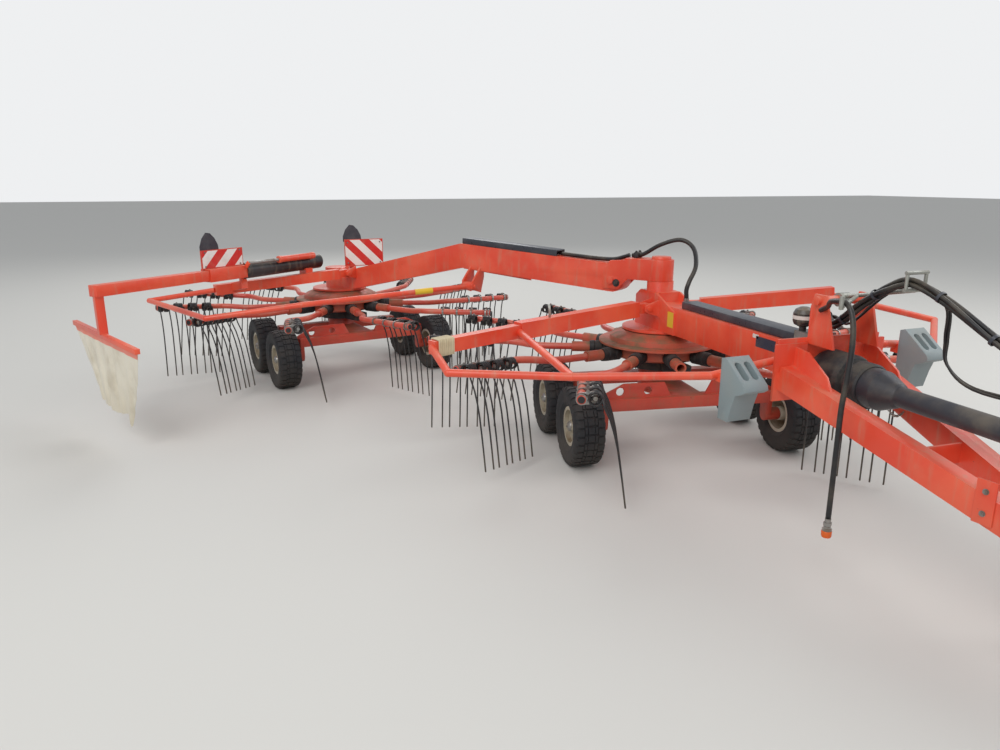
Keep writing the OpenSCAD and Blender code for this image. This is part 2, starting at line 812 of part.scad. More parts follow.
// Guard frames of the front rotor, hinged beside the tower
right_knee = [-1620, -630, 795];
right_elbow = [-1100, -428, 812];
right_ring = [[-1600, -870, guard_z], [-1078, -1118, guard_z], [-520, -1385, guard_z + 27], [-112, -1452, 832]];
right_chock_at = [-455, -1446, 768];
module right_guard() {
  color(orange)
    machine()
      difference() {
        union() {
          hinge_neck(-1);
          bar([-hinge_x - 76, hinge_y - 14, hinge_z - 2], right_elbow, 70, 92);
          bar(right_elbow, right_knee, 60, 70);
          bent(concat([right_knee], right_ring), guard_r);
          rod(right_elbow, right_ring[1], guard_r);
          chock_holder(right_chock_at);
        }
        barrel(-hinge_x, hinge_y, hinge_z, hinge_pin + running, 2 * barrel_l);
      }
}
module right_chock() { color(grey) machine() chock(right_chock_at); }

left_elbow = [950, -440, 920];
left_ring = [[1500, -700, 770], [1010, -1150, guard_z + 20], [400, -1415, 842], [130, -1456, 880]];
left_chock_at = [560, -1405, 823];
module left_guard() {
  color(orange)
    machine()
      difference() {
        union() {
          hinge_neck(1);
          bar([hinge_x + 76, hinge_y - 14, hinge_z], left_elbow, 70, 88);
          rod(left_elbow + [-20, 6, -6], left_ring[0], guard_r);
          bent(left_ring, guard_r);
          translate(left_ring[0]) sphere(r = guard_r + 1, $fn = 32);
          chock_holder(left_chock_at);
        }
        barrel(hinge_x, hinge_y, hinge_z, hinge_pin + running, 2 * barrel_l);
      }
}
module left_chock() { color(grey) machine() chock(left_chock_at); }

// Barrel and neck at the root of a guard arm
module hinge_neck(side) {
  barrel(side * hinge_x, hinge_y, hinge_z, barrel_r, barrel_l);
  bar([side * hinge_x, hinge_y, hinge_z], [side * (hinge_x + 100), hinge_y - 8, hinge_z - 1], 62, 58);
}

// Wheel chock, hung toe down with its slotted end sloping forwards, and the plate behind it
chock_w = 124;
chock_turn = 4;
slot_r = 16;
module chock(at) {
  translate(at)
    rotate([0, 0, chock_turn])
      difference() {
        translate([-chock_w / 2, 0, 0])
          rotate([90, 0, 90])
            linear_extrude(height = chock_w)
              polygon([
                [0, 80], [-26, 88], [-158, -14], [-166, -36], [-142, -52], [-104, -66], [-86, -116],
                [-66, -194], [0, -194]
              ]);
        for (side = [-1, 1])
          translate([side * 25, -92, 37])
            rotate([37.7, 0, 0]) {
              for (end = [-1, 1]) translate([0, end * 34, -34]) cylinder(r = slot_r, h = 60, $fn = 32);
              translate([-slot_r, -34, -34]) cube([2 * slot_r, 68, 60]);
            }
      }
}
module chock_holder(at) {
  translate(at)
    rotate([0, 0, chock_turn]) {
      translate([-52, seat, -70]) cube([104, 8, 130]);
      for (x = [-40, 30]) translate([x, seat + 4, -40]) cube([10, 56, 44]);
    }
}

// Yoke that swings on the tower and holds the boom's lift pin
module yoke() {
  inner = boom_w / 2 + seat;
  color(orange)
    boom_frame()
      difference() {
        union() {
          translate([0, 0, yoke_low]) cylinder(r = 78, h = yoke_top - yoke_low, $fn = 64);
          translate([-inner - 14, 0, yoke_low]) cube([2 * inner + 28, lift_out - 100, yoke_top - yoke_low]);
          for (side = [-1, 1])
            upright([
              [60, yoke_low], [60, yoke_top], [lift_out + 10, yoke_top - 20], [lift_out + 70, lift_z + 40],
              [lift_out + 60, lift_z - 55], [lift_out - 50, lift_z - 55], [lift_out - 120, yoke_low]
            ], side * (inner + 7), 14);
          rod([-inner - 30, lift_out, lift_z], [inner + 30, lift_out, lift_z], 24);
        }
        translate([0, 0, yoke_low - 1]) cylinder(r = tower_pin, h = yoke_top - yoke_low + 2, $fn = 64);
      }
}

// Hose that loops over the tower and rides on the yoke
module tower_hose() {
  color(black)
    boom_frame()
      hose([
        [4, 204, yoke_top + 14 + seat], [5, 130, yoke_top + 24], [16, 20, 1206], [40, -100, 1240],
        [34, -190, 1196], [-30, -240, 1096], [-96, -232, 1006], [-110, -224, 958]
      ], 14, 10);
}

// Boom: a box arch from the lift pin over the crest to the head on the rear column
function boom_line(depth) = [
  [lift_out + 10, lift_z + boom_h / 2 + 14 - depth],
  [crest_out, crest_z - depth],
  [hub_gap - 210, 862 - depth * 0.92],
  [hub_gap + 90, 858 - depth * 0.92]
];
module boom() {
  top = boom_line(0);
  low = boom_line(boom_h);
  color(orange) {
    boom_frame() {
      difference() {
        union() {
          upright(concat(top, [for (i = [len(low) - 1 : -1 : 0]) low[i]]), 0, boom_w);
          translate([-boom_w / 2, lift_out, lift_z + 14]) rotate([0, 90, 0]) cylinder(r = boom_h / 2, h = boom_w, $fn = 64);
          translate([0, hub_gap, beam_z]) cylinder(r = 112, h = 170, $fn = 64);
          for (end = wing_ends) translate([0, end, 0]) mirror([1, 0, 0]) lugs(1, wing_x, 0, wing_z, boom_w / 2 - 1);
          for (end = [-1, 1])
            crosswise([
              [-20, 980], [-boom_w / 2 + 1, 980], [-wing_x - 20, wing_z + 40], [-wing_x - 20, wing_z],
              [-boom_w / 2 + 1, wing_z - 40], [-20, wing_z + 60]
            ], wing_ends[1] + end * (barrel_l / 2 + 1 + lug_t / 2), lug_t);
        }
        translate([0, lift_out, lift_z]) rotate([0, 90, 0]) cylinder(r = 24 + running, h = 2 * boom_w, center = true, $fn = 48);
      }
      // Drilled side plate under the crest
      difference() {
        upright([
          [crest_out - 560, crest_z - boom_h - 62], [crest_out + 60, crest_z - boom_h - 20],
          [crest_out + 60, crest_z - boom_h + 60], [crest_out - 560, crest_z - boom_h + 26]
        ], boom_w / 2 + 5, 10);
        for (k = [0 : 5])
          translate([0, crest_out - 500 + 90 * k, crest_z - boom_h - 24 + 6 * k])
            rotate([0, 90, 0])
              cylinder(r = 9, h = 2 * boom_w, $fn = 24);
      }
    }
    rear_unit() column();
  }
}

cover_out = lift_out + 430;
module boom_cover() {
  from = boom_line(0)[0];
  to = boom_line(0)[1];
  slope = atan2(to[1] - from[1], to[0] - from[0]);
  color(black)
    boom_frame()
      translate([0, cover_out, from[1] + (cover_out - from[0]) * tan(slope) + seat / cos(slope)])
        rotate([slope, 0, 0])
          hose_cover(crest_out - cover_out - 12);
}

// Warning boards
module board(w, h, t) {
  translate([-w / 2, -t / 2, 0]) cube([w, t, h]);
}
// The inner board stands on a post on the boom
board_out = hub_gap - 170;
module inner_board() {
  post = boom_line(0)[2][1] + seat;
  color(cream)
    boom_frame()
      translate([0, board_out, 0]) {
        translate([0, 0, post]) cylinder(r = 18, h = 50, $fn = 24);
        translate([0, 0, post + 20]) cylinder(r = 30, h = 12, $fn = 24);
        translate([0, 0, post + 24]) rotate([0, 0, -30]) translate([110, 0, 0]) board(330, 225, 12);
      }
}

// A point of the boom's frame, seen from the rear unit
function to_unit(p) =
  let (turn = boom_yaw - unit_yaw, x = p[0], y = p[1] - hub_gap)
  [x * cos(turn) - y * sin(turn), x * sin(turn) + y * cos(turn), p[2]];

// Rear guard frame: folds up about two hinges beside the boom
wing_x = 128;
wing_z = 846;
wing_ends = [2790, 1450];
rear_elbow = [-1150, -120, 790];
rear_ring = [[-1506, 270, 702], [-1500, -780, 702], [-975, -1145, 780]];
module rear_guard() {
  root = to_unit([-wing_x - 82, wing_ends[0] - 4, wing_z - 2]);
  stay = to_unit([-wing_x - 12, wing_ends[1] + 2, wing_z - 2]);
  color(orange)
    difference() {
      union() {
        boom_frame() {
          for (end = wing_ends) barrel(-wing_x, end, wing_z, barrel_r, barrel_l);
          bar([-wing_x, wing_ends[0], wing_z], [-wing_x - 104, wing_ends[0] - 4, wing_z - 3], 62, 58);
        }
        rear_unit() {
          bar(root, rear_elbow, 70, 78);
          bent(concat([rear_elbow], rear_ring, [stay]), guard_r);
          // Saddle and strut under the curtain's arm
          translate([-430, -215, 840]) cube([60, 110, arm_level - 40 - 840]);
          bar([-1010, -131, 800], out(curtain_yaw, 1092, 845) + [10, -5, 0], 50, 60);
          translate(out(curtain_yaw, 1100, 820)) cube([40, 40, arm_level - 45 - seat - 820]);
        }
      }
      boom_frame() for (end = wing_ends) barrel(-wing_x, end, wing_z, hinge_pin + running, 2 * barrel_l);
      rear_unit()
        translate(out(curtain_yaw, 200, arm_level))
          rotate([0, -90, curtain_yaw - 180])
            cylinder(r = tube_r + seat, h = sleeve_from - 200, $fn = 64);
    }
}

// Curtain arm: a tube and a box sleeve on the wing, and the arm that slides in them
function out(yaw, r, z) = [r * cos(yaw), r * sin(yaw), z];
arm_level = 945;
tube_r = 60;
sleeve_from = 1080;
sleeve_to = 1420;
arm_w = 76;
arm_h = 70;
slide = 0.5;
module curtain_tube() {
  color(black)
    rear_unit()
      translate(out(curtain_yaw, 262, arm_level))
        rotate([0, -90, curtain_yaw - 180])
          difference() {
            cylinder(r = tube_r, h = sleeve_from - 262, $fn = 64);
            translate([0, 0, 20]) cylinder(r = tube_r - 6, h = sleeve_from, $fn = 64);
          }
}
module curtain_sleeve() {
  color(orange)
    rear_unit()
      difference() {
        bar(out(curtain_yaw, sleeve_from + seat, arm_level), out(curtain_yaw, sleeve_to, arm_level), 100, 90);
        bar(
          out(curtain_yaw, sleeve_from - 10, arm_level), out(curtain_yaw, sleeve_to + 10, arm_level),
          arm_w + 2 * slide, arm_h + 2 * slide
        );
      }
}
module outer_board() {
  color(cream)
    rear_unit()
      translate(out(curtain_yaw, 1262, arm_level + 45 + seat)) rotate([0, 0, 15]) board(354, 130, 12);
}
module curtain_arm() {
  hanger = out(curtain_yaw, curtain_out, 0);
  color(orange)
    rear_unit() {
      bar(out(curtain_yaw, 700, arm_level), out(curtain_yaw, curtain_out + 30, arm_level), arm_w, arm_h);
      translate(hanger + [-25, -25, curtain_top - 5]) cube([50, 50, arm_level - curtain_top]);
      translate(hanger + [-15, -curtain_len / 2, curtain_top - 30]) cube([30, curtain_len, 30]);
    }
}

// The cloth, gathered towards its lower edge and torn into a tail
module curtain() {
  hanger = out(curtain_yaw, curtain_out, curtain_top - 30 - seat);
  d = curtain_drop;
  l = curtain_len;
  color(cream)
    rear_unit()
      translate(hanger)
        upright([
          [l * 0.5, 0], [l * 0.36, -d * 0.5], [l * 0.23, -d * 0.88], [l * 0.05, -d * 0.8],
          [-l * 0.1, -d * 0.93], [-l * 0.27, -d], [-l * 0.38, -d * 1.14], [-l * 0.42, -d * 1.1],
          [-l * 0.32, -d * 0.88], [-l * 0.43, -d * 0.46], [-l * 0.5, 0]
        ], 0, 14);
}

main_beam();
beam_cover();
machine() gear_housing();  // front_gearbox
front_chassis() carriage();  // front_carriage
headstock();
drawbar();
hitch_head();
jack_tube();
input_gearbox();
pto_shaft();
valve_block();
accumulator();
hose_stand();
hoses();
drop_hose();
drop_coupling();
hitch_ring();
jack_leg();
right_guard();
right_chock();
left_guard();
left_chock();
machine() hub(front_phase);  // front_hub
machine() boots(front_phase);  // front_boots
machine() arms(front_phase, missing_arm);  // front_arms
machine() tines(front_phase, missing_arm);  // front_tines
yoke();
tower_hose();
boom();
boom_cover();
rear_unit() gear_housing();  // rear_gearbox
inner_board();
rear_guard();
curtain_tube();
curtain_sleeve();
outer_board();
curtain_arm();
curtain();
rear_chassis() carriage();  // rear_carriage
rear_unit() hub(rear_phase);  // rear_hub
rear_unit() boots(rear_phase);  // rear_boots
rear_unit() arms(rear_phase, -1);  // rear_arms
rear_unit() tines(rear_phase, -1);  // rear_tines
front_chassis() tyre(wheels[0]);  // front_lead_right_tyre
front_chassis() rim(wheels[0]);  // front_lead_right_rim
front_chassis() tyre(wheels[1]);  // front_lead_left_tyre
front_chassis() rim(wheels[1]);  // front_lead_left_rim
front_chassis() tyre(wheels[2]);  // front_trail_right_tyre
front_chassis() rim(wheels[2]);  // front_trail_right_rim
front_chassis() tyre(wheels[3]);  // front_trail_left_tyre
front_chassis() rim(wheels[3]);  // front_trail_left_rim
rear_chassis() tyre(wheels[0]);  // rear_lead_right_tyre
rear_chassis() rim(wheels[0]);  // rear_lead_right_rim
rear_chassis() tyre(wheels[1]);  // rear_lead_left_tyre
rear_chassis() rim(wheels[1]);  // rear_lead_left_rim
rear_chassis() tyre(wheels[2]);  // rear_trail_right_tyre
rear_chassis() rim(wheels[2]);  // rear_trail_right_rim
rear_chassis() tyre(wheels[3]);  // rear_trail_left_tyre
rear_chassis() rim(wheels[3]);  // rear_trail_left_rim
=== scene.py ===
"""Looks of a trailed twin rotor hay rake, built round its packed construction model."""

from __future__ import annotations

import json
import logging
import math
from collections.abc import Iterable, Sequence
from dataclasses import dataclass
from enum import Enum

import bmesh
import bpy
from mathutils import Matrix, Vector

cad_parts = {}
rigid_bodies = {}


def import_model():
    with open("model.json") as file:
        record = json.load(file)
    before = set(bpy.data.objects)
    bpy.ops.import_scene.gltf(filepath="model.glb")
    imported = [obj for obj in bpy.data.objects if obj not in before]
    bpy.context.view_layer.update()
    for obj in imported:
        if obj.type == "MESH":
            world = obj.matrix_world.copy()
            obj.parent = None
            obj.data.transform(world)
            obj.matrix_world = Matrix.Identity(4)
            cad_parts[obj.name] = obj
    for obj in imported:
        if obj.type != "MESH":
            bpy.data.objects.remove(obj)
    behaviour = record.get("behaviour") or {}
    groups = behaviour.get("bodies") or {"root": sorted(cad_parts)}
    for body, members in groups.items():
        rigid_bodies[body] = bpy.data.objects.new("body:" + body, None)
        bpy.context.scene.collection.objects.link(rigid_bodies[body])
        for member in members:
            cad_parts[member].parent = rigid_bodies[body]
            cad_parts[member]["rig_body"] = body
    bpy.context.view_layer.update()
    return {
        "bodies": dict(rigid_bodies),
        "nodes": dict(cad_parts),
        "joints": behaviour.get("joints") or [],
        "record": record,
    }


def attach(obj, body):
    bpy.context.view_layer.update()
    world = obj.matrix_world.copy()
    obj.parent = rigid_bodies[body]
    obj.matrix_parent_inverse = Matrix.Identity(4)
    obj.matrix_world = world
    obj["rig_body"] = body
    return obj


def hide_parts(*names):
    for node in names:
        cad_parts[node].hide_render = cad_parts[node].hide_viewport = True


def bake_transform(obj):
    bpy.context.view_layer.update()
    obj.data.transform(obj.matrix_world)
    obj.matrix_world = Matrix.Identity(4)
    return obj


LOG = logging.getLogger("rake")
MM = 0.001
# The middle of the machine, measured from the front rotor's axis
MIDDLE = Vector((-1.051, 0.423, 0.0))
Colour = tuple[float, float, float, float]
Point = tuple[float, float, float]
Outline = Sequence[tuple[float, float]]


def tint(red: float, green: float, blue: float) -> Colour:
    """Turns a colour as a screen shows it into the linear colour that shaders take.

    Args:
        red, green, blue: parts from 0 to 255

    Returns:
        The linear colour, opaque.
    """

    def linear(part: float) -> float:
        """One part, straightened."""
        share = part / 255
        return share / 12.92 if share <= 0.04045 else ((share + 0.055) / 1.055) ** 2.4

    return (linear(red), linear(green), linear(blue), 1.0)


DUST = tint(168, 150, 122)
SOIL = tint(118, 98, 72)
PRIMER = tint(96, 62, 48)


def shift(x: float = 0.0, y: float = 0.0, z: float = 0.0) -> Matrix:
    """A move along the axes, in metres."""
    return Matrix.Translation((x, y, z))


def turn_about(axis: str, degrees: float) -> Matrix:
    """A turn about an axis."""
    return Matrix.Rotation(math.radians(degrees), 4, axis)


def heading(reach: float, degrees: float, level: float = 0.0) -> Vector:
    """A point that lies a distance away in a direction, at a level."""
    turn = math.radians(degrees)
    return Vector((reach * math.cos(turn), reach * math.sin(turn), level))


@dataclass(frozen=True)
class Station:
    """A part of the machine that is drawn in a frame of its own.

    Attributes:
        x: where its origin stands across the machine, in millimetres
        y: where its origin stands along the machine, in millimetres
        turn: its turn about the upright axis, in degrees
    """

    x: float = 0.0
    y: float = 0.0
    turn: float = 0.0

    def matrix(self) -> Matrix:
        """The station's frame in the model's metres."""
        spot = Vector((self.x, self.y, 0.0)) * MM - MIDDLE
        return Matrix.Translation(spot) @ turn_about("Z", self.turn)

    def at(self, x: float, y: float, z: float) -> Vector:
        """A point of the station, given in millimetres, in the model's metres."""
        return self.matrix() @ (Vector((x, y, z)) * MM)


class Place(Enum):
    """The frames that the machine's parts are drawn in."""

    FRONT = Station()
    BOOM = Station(turn=35.0)
    REAR = Station(-1732.2, 2473.84, 25.0)
    FRONT_WHEELS = Station(turn=-7.0)
    REAR_WHEELS = Station(-1732.2, 2473.84, 13.0)

    def at(self, x: float, y: float, z: float) -> Vector:
        """A point of this place, given in millimetres, in the model's metres."""
        return self.value.at(x, y, z)

    def matrix(self) -> Matrix:
        """This place's frame in the model's metres."""
        return self.value.matrix()


class Wire:
    """A value on its way through a material's nodes. Arithmetic on it adds Math nodes."""

    def __init__(self, graph: Graph, socket: bpy.types.NodeSocket) -> None:
        """Keeps the graph that the value belongs to, and the socket that gives it."""
        self.graph = graph
        self.socket = socket

    def _math(self, kind: str, *terms: Wire | float) -> Wire:
        """Adds one Math node on the terms."""
        return self.graph.node("ShaderNodeMath", {"operation": kind}, dict(enumerate(terms)))

    def __add__(self, other: Wire | float) -> Wire:
        """The sum."""
        return self._math("ADD", self, other)

    __radd__ = __add__

    def __sub__(self, other: Wire | float) -> Wire:
        """The difference."""
        return self._math("SUBTRACT", self, other)

    def __rsub__(self, other: Wire | float) -> Wire:
        """The difference, taken from a plain number."""
        return self._math("SUBTRACT", other, self)

    def __mul__(self, other: Wire | float) -> Wire:
        """The product."""
        return self._math("MULTIPLY", self, other)

    __rmul__ = __mul__

    def __mod__(self, other: Wire | float) -> Wire:
        """What is left over the other, always positive."""
        return self._math("FLOORED_MODULO", self, other)

    def __gt__(self, other: Wire | float) -> Wire:
        """1 where this value is the larger one."""
        return self._math("GREATER_THAN", self, other)

    def sine(self) -> Wire:
        """The sine."""
        return self._math("SINE", self)


class Graph:
    """The nodes of one material."""

    def __init__(self, name: str) -> None:
        """Starts an empty material under a name."""
        self.material = bpy.data.materials.new(name)
        self.material.use_nodes = True
        self.tree = self.material.node_tree
        self.tree.nodes.clear()
        self.where = self.node("ShaderNodeTexCoord", out="Object")

    def node(
        self,
        kind: str,
        settings: dict[str, object] | None = None,
        sockets: dict[int | str, object] | None = None,
        out: int | str = 0,
    ) -> Wire:
        """Adds a node.

        Args:
            kind: the node's type
            settings: its properties, set before its sockets
            sockets: a value or a wire for each socket that isn't left alone
            out: the output that is used

        Returns:
            The wire from that output.
        """
        made = self.tree.nodes.new(kind)
        for key, value in (settings or {}).items():
            setattr(made, key, value)
        for key, value in (sockets or {}).items():
            if isinstance(value, Wire):
                self.tree.links.new(value.socket, made.inputs[key])
            else:
                made.inputs[key].default_value = value
        return Wire(self, made.outputs[out])

    def stretched(self, x: float, y: float, z: float, turn: float = 0.0) -> Wire:
        """The surface's coordinates, turned about the upright axis and then scaled."""
        turned = self.node(
            "ShaderNodeMapping",
            {"vector_type": "POINT"},
            {"Vector": self.where, "Rotation": (0.0, 0.0, math.radians(-turn))},
        )
        return self.node("ShaderNodeMapping", {}, {"Vector": turned, "Scale": (x, y, z)})

    def noise(self, scale: float, detail: float = 3.0, where: Wire | None = None) -> Wire:
        """Cloudy values about a half.

        Args:
            scale: clouds in a metre
            detail: how many finer layers are added
            where: coordinates other than the surface's own

        Returns:
            The clouds.
        """
        sockets = {"Vector": where or self.where, "Scale": scale, "Detail": detail}
        return self.node("ShaderNodeTexNoise", {}, sockets | {"Roughness": 0.58})

    def rise(self, value: Wire, low: float, high: float) -> Wire:
        """A smooth step from 0 at low to 1 at high."""
        sockets = {"Value": value, "From Min": low, "From Max": high}
        return self.node("ShaderNodeMapRange", {"interpolation_type": "SMOOTHSTEP"}, sockets)

    def blend(self, share: Wire | float, under: Wire | Colour, over: Wire | Colour) -> Wire:
        """A colour between two, nearer to the second one as the share grows."""
        sockets = {0: share, 6: under, 7: over}
        return self.node("ShaderNodeMix", {"data_type": "RGBA"}, sockets, out=2)

    def axis(self, vector: Wire, which: str) -> Wire:
        """One part of a vector."""
        return self.node("ShaderNodeSeparateXYZ", {}, {0: vector}, out=which)

    def upward(self) -> Wire:
        """How far the surface faces up, from -1 to 1."""
        return self.axis(self.node("ShaderNodeNewGeometry", out="Normal"), "Z")

    def height(self) -> Wire:
        """Height above the ground in metres."""
        return self.axis(self.where, "Z")

    def bump(self, height: Wire, depth: float, strength: float = 1.0) -> Wire:
        """A normal roughened by a height of the given depth in metres."""
        sockets = {"Height": height, "Distance": depth, "Strength": strength}
        return self.node("ShaderNodeBump", {}, sockets)

    def finish(
        self,
        colour: Wire | Colour,
        roughness: Wire | float,
        normal: Wire | None = None,
        metallic: Wire | float = 0.0,
        **plain: float,
    ) -> bpy.types.Material:
        """Ends the material in its shader.

        Args:
            colour: the base colour
            roughness: the roughness
            normal: a roughened normal, if there is one
            metallic: the share of bare metal
            plain: sockets with one number all over, with _ for each space

        Returns:
            The material.
        """
        sockets: dict[int | str, object] = {
            "Base Color": colour,
            "Roughness": roughness,
            "Metallic": metallic,
        }
        if normal is not None:
            sockets["Normal"] = normal
        sockets.update({key.replace("_", " "): value for key, value in plain.items()})
        shader = self.node("ShaderNodeBsdfPrincipled", {}, sockets)
        self.node_to_output(shader)
        return self.material

    def node_to_output(self, shader: Wire) -> None:
        """Leads a shader to the material's output."""
        made = self.tree.nodes.new("ShaderNodeOutputMaterial")
        self.tree.links.new(shader.socket, made.inputs["Surface"])


@dataclass(frozen=True)
class Paint:
    """Painted steel that has faded, gathered dust on its upper sides and chipped.

    Attributes:
        name: the material's name
        colour: the sound paint
        faded: the paint where the sun has bleached it
        dust: how much dust lies on it, from 0 to 1
        chips: how much paint has chipped off, from 0 to 1
        gloss: roughness of the clean paint
        dirt: the dust's colour
    """

    name: str
    colour: Colour
    faded: Colour
    dust: float = 0.35
    chips: float = 0.5
    gloss: float = 0.36
    dirt: Colour = DUST

    def build(self) -> bpy.types.Material:
        """Makes the material."""
        graph = Graph(self.name)
        cloud = graph.noise(2.6, 4.0)
        paint = graph.blend(graph.rise(cloud, 0.36, 0.66), self.colour, self.faded)
        streaks = graph.noise(1.0, 4.0, graph.stretched(26.0, 26.0, 4.0))
        paint = graph.blend(graph.rise(streaks, 0.5, 0.8) * 0.35, paint, self.dirt)
        grime = graph.rise(graph.noise(9.0, 6.0) + graph.upward() * 0.22, 0.5, 0.92) * self.dust
        low = (1.0 - graph.rise(graph.height(), 0.1, 0.75)) * 0.45 * self.dust
        grime = grime + low
        paint = graph.blend(grime, paint, self.dirt)
        chip = graph.rise(graph.noise(46.0, 5.0), 0.70, 0.735) * self.chips
        scrape = graph.noise(1.0, 3.0, graph.stretched(9.0, 9.0, 150.0))
        bare = chip + graph.rise(scrape, 0.74, 0.78) * self.chips
        paint = graph.blend(bare, paint, PRIMER)
        rough = self.gloss + grime * 0.4 + (cloud - 0.5) * 0.16 + bare * 0.2
        skin = graph.noise(340.0, 2.0) * 0.25 + graph.noise(30.0, 2.0) * 0.5 - bare * 0.9
        normal = graph.bump(skin, 0.0006)
        return graph.finish(paint, rough, normal, 0.0, Coat_Weight=0.12, Coat_Roughness=0.25)


@dataclass(frozen=True)
class Rubber:
    """Weathered rubber or black plastic with dust in its pores.

    Attributes:
        name: the material's name
        colour: the clean rubber
        dirt: the dust's colour
        dust: how much dust lies on it
        gloss: roughness of the clean rubber
        grain: depth of its grain in metres
        low: whether dirt gathers towards the ground
    """

    name: str
    colour: Colour
    dirt: Colour = DUST
    dust: float = 0.3
    gloss: float = 0.6
    grain: float = 0.0005
    low: bool = False

    def build(self) -> bpy.types.Material:
        """Makes the material."""
        graph = Graph(self.name)
        cloud = graph.noise(7.0, 5.0)
        grime = graph.rise(cloud + graph.upward() * 0.12, 0.42, 0.86) * self.dust
        if self.low:
            grime = grime + (1.0 - graph.rise(graph.height(), 0.0, 0.3)) * 0.35
        paint = graph.blend(grime, self.colour, self.dirt)
        rough = self.gloss + grime * 0.35 + (graph.noise(40.0) - 0.5) * 0.2
        skin = graph.noise(420.0, 2.0) + graph.noise(60.0, 3.0) * 0.6
        return graph.finish(paint, rough, graph.bump(skin, self.grain, 0.7))


@dataclass(frozen=True)
class Steel:
    """Bare, cast or plated metal with stains.

    Attributes:
        name: the material's name
        colour: the clean metal
        stain: the stained metal
        metal: how metallic it is
        gloss: roughness
        grain: depth of its grain in metres
        coarse: clouds of the grain in a metre
    """

    name: str
    colour: Colour
    stain: Colour
    metal: float = 0.9
    gloss: float = 0.4
    grain: float = 0.0004
    coarse: float = 160.0

    def build(self) -> bpy.types.Material:
        """Makes the material."""
        graph = Graph(self.name)
        cloud = graph.noise(14.0, 6.0)
        stained = graph.rise(cloud + graph.upward() * 0.1, 0.46, 0.72)
        paint = graph.blend(stained, self.colour, self.stain)
        rough = self.gloss + stained * 0.3
        normal = graph.bump(graph.noise(self.coarse, 3.0), self.grain)
        return graph.finish(paint, rough, normal, (1.0 - stained * 0.75) * self.metal)


@dataclass(frozen=True)
class TineSteel:
    """Black spring steel that crop and soil have polished towards the tips."""

    name: str = "tine_steel"

    def build(self) -> bpy.types.Material:
        """Makes the material."""
        graph = Graph(self.name)
        cloud = graph.noise(30.0, 4.0)
        worn = (1.0 - graph.rise(graph.height() + cloud * 0.12, 0.10, 0.34)) * 0.85
        rust = graph.rise(graph.noise(70.0, 5.0), 0.55, 0.72) * 0.6
        paint = graph.blend(rust, tint(38, 36, 37), tint(84, 62, 48))
        paint = graph.blend(worn, paint, tint(120, 112, 100))
        rough = 0.46 + rust * 0.3 - worn * 0.12
        return graph.finish(paint, rough, graph.bump(graph.noise(500.0), 0.0003), worn * 0.7)


@dataclass(frozen=True)
class Striped:
    """Reflecting film in slanting red and white stripes.

    Attributes:
        name: the material's name
        turn: the board's turn about the upright axis in degrees
        pitch: width of a red and a white stripe together, in metres
        slant: 1 or -1, the way that the stripes lean
    """

    name: str
    turn: float
    pitch: float = 0.2
    slant: float = 1.0

    def build(self) -> bpy.types.Material:
        """Makes the material."""
        graph = Graph(self.name)
        flat = graph.stretched(1.0, 1.0, 1.0, self.turn)
        across = graph.axis(flat, "X") + graph.axis(flat, "Z") * self.slant
        red = (across % self.pitch) > self.pitch / 2
        paint = graph.blend(red, tint(232, 228, 222), tint(206, 44, 40))
        grime = graph.rise(graph.noise(12.0, 5.0), 0.45, 0.85) * 0.35
        paint = graph.blend(grime, paint, DUST)
        cells = graph.node("ShaderNodeTexVoronoi", {}, {"Vector": graph.where, "Scale": 300.0})
        return graph.finish(paint, 0.3 + grime * 0.5, graph.bump(cells, 0.0002))


@dataclass(frozen=True)
class Weave:
    """Coarse coated cloth, woven square and stained towards its lower edge.

    Attributes:
        name: the material's name
        colour: the clean cloth
        stain: the stained cloth
    """

    name: str
    colour: Colour
    stain: Colour

    def build(self) -> bpy.types.Material:
        """Makes the material."""
        graph = Graph(self.name)
        uv = graph.node("ShaderNodeUVMap")
        warp = (graph.axis(uv, "X") * 2400.0).sine()
        weft = (graph.axis(uv, "Y") * 2400.0).sine()
        threads = warp * weft
        cloud = graph.noise(5.0, 5.0)
        stained = graph.rise(cloud, 0.42, 0.78) * 0.7
        low = (1.0 - graph.rise(graph.height() + cloud * 0.1, 0.2, 0.5)) * 0.35
        paint = graph.blend(stained + low, self.colour, self.stain)
        skin = threads * 0.5 + graph.noise(120.0) * 0.8
        return graph.finish(paint, 0.82, graph.bump(skin, 0.0006), Sheen_Weight=0.25)


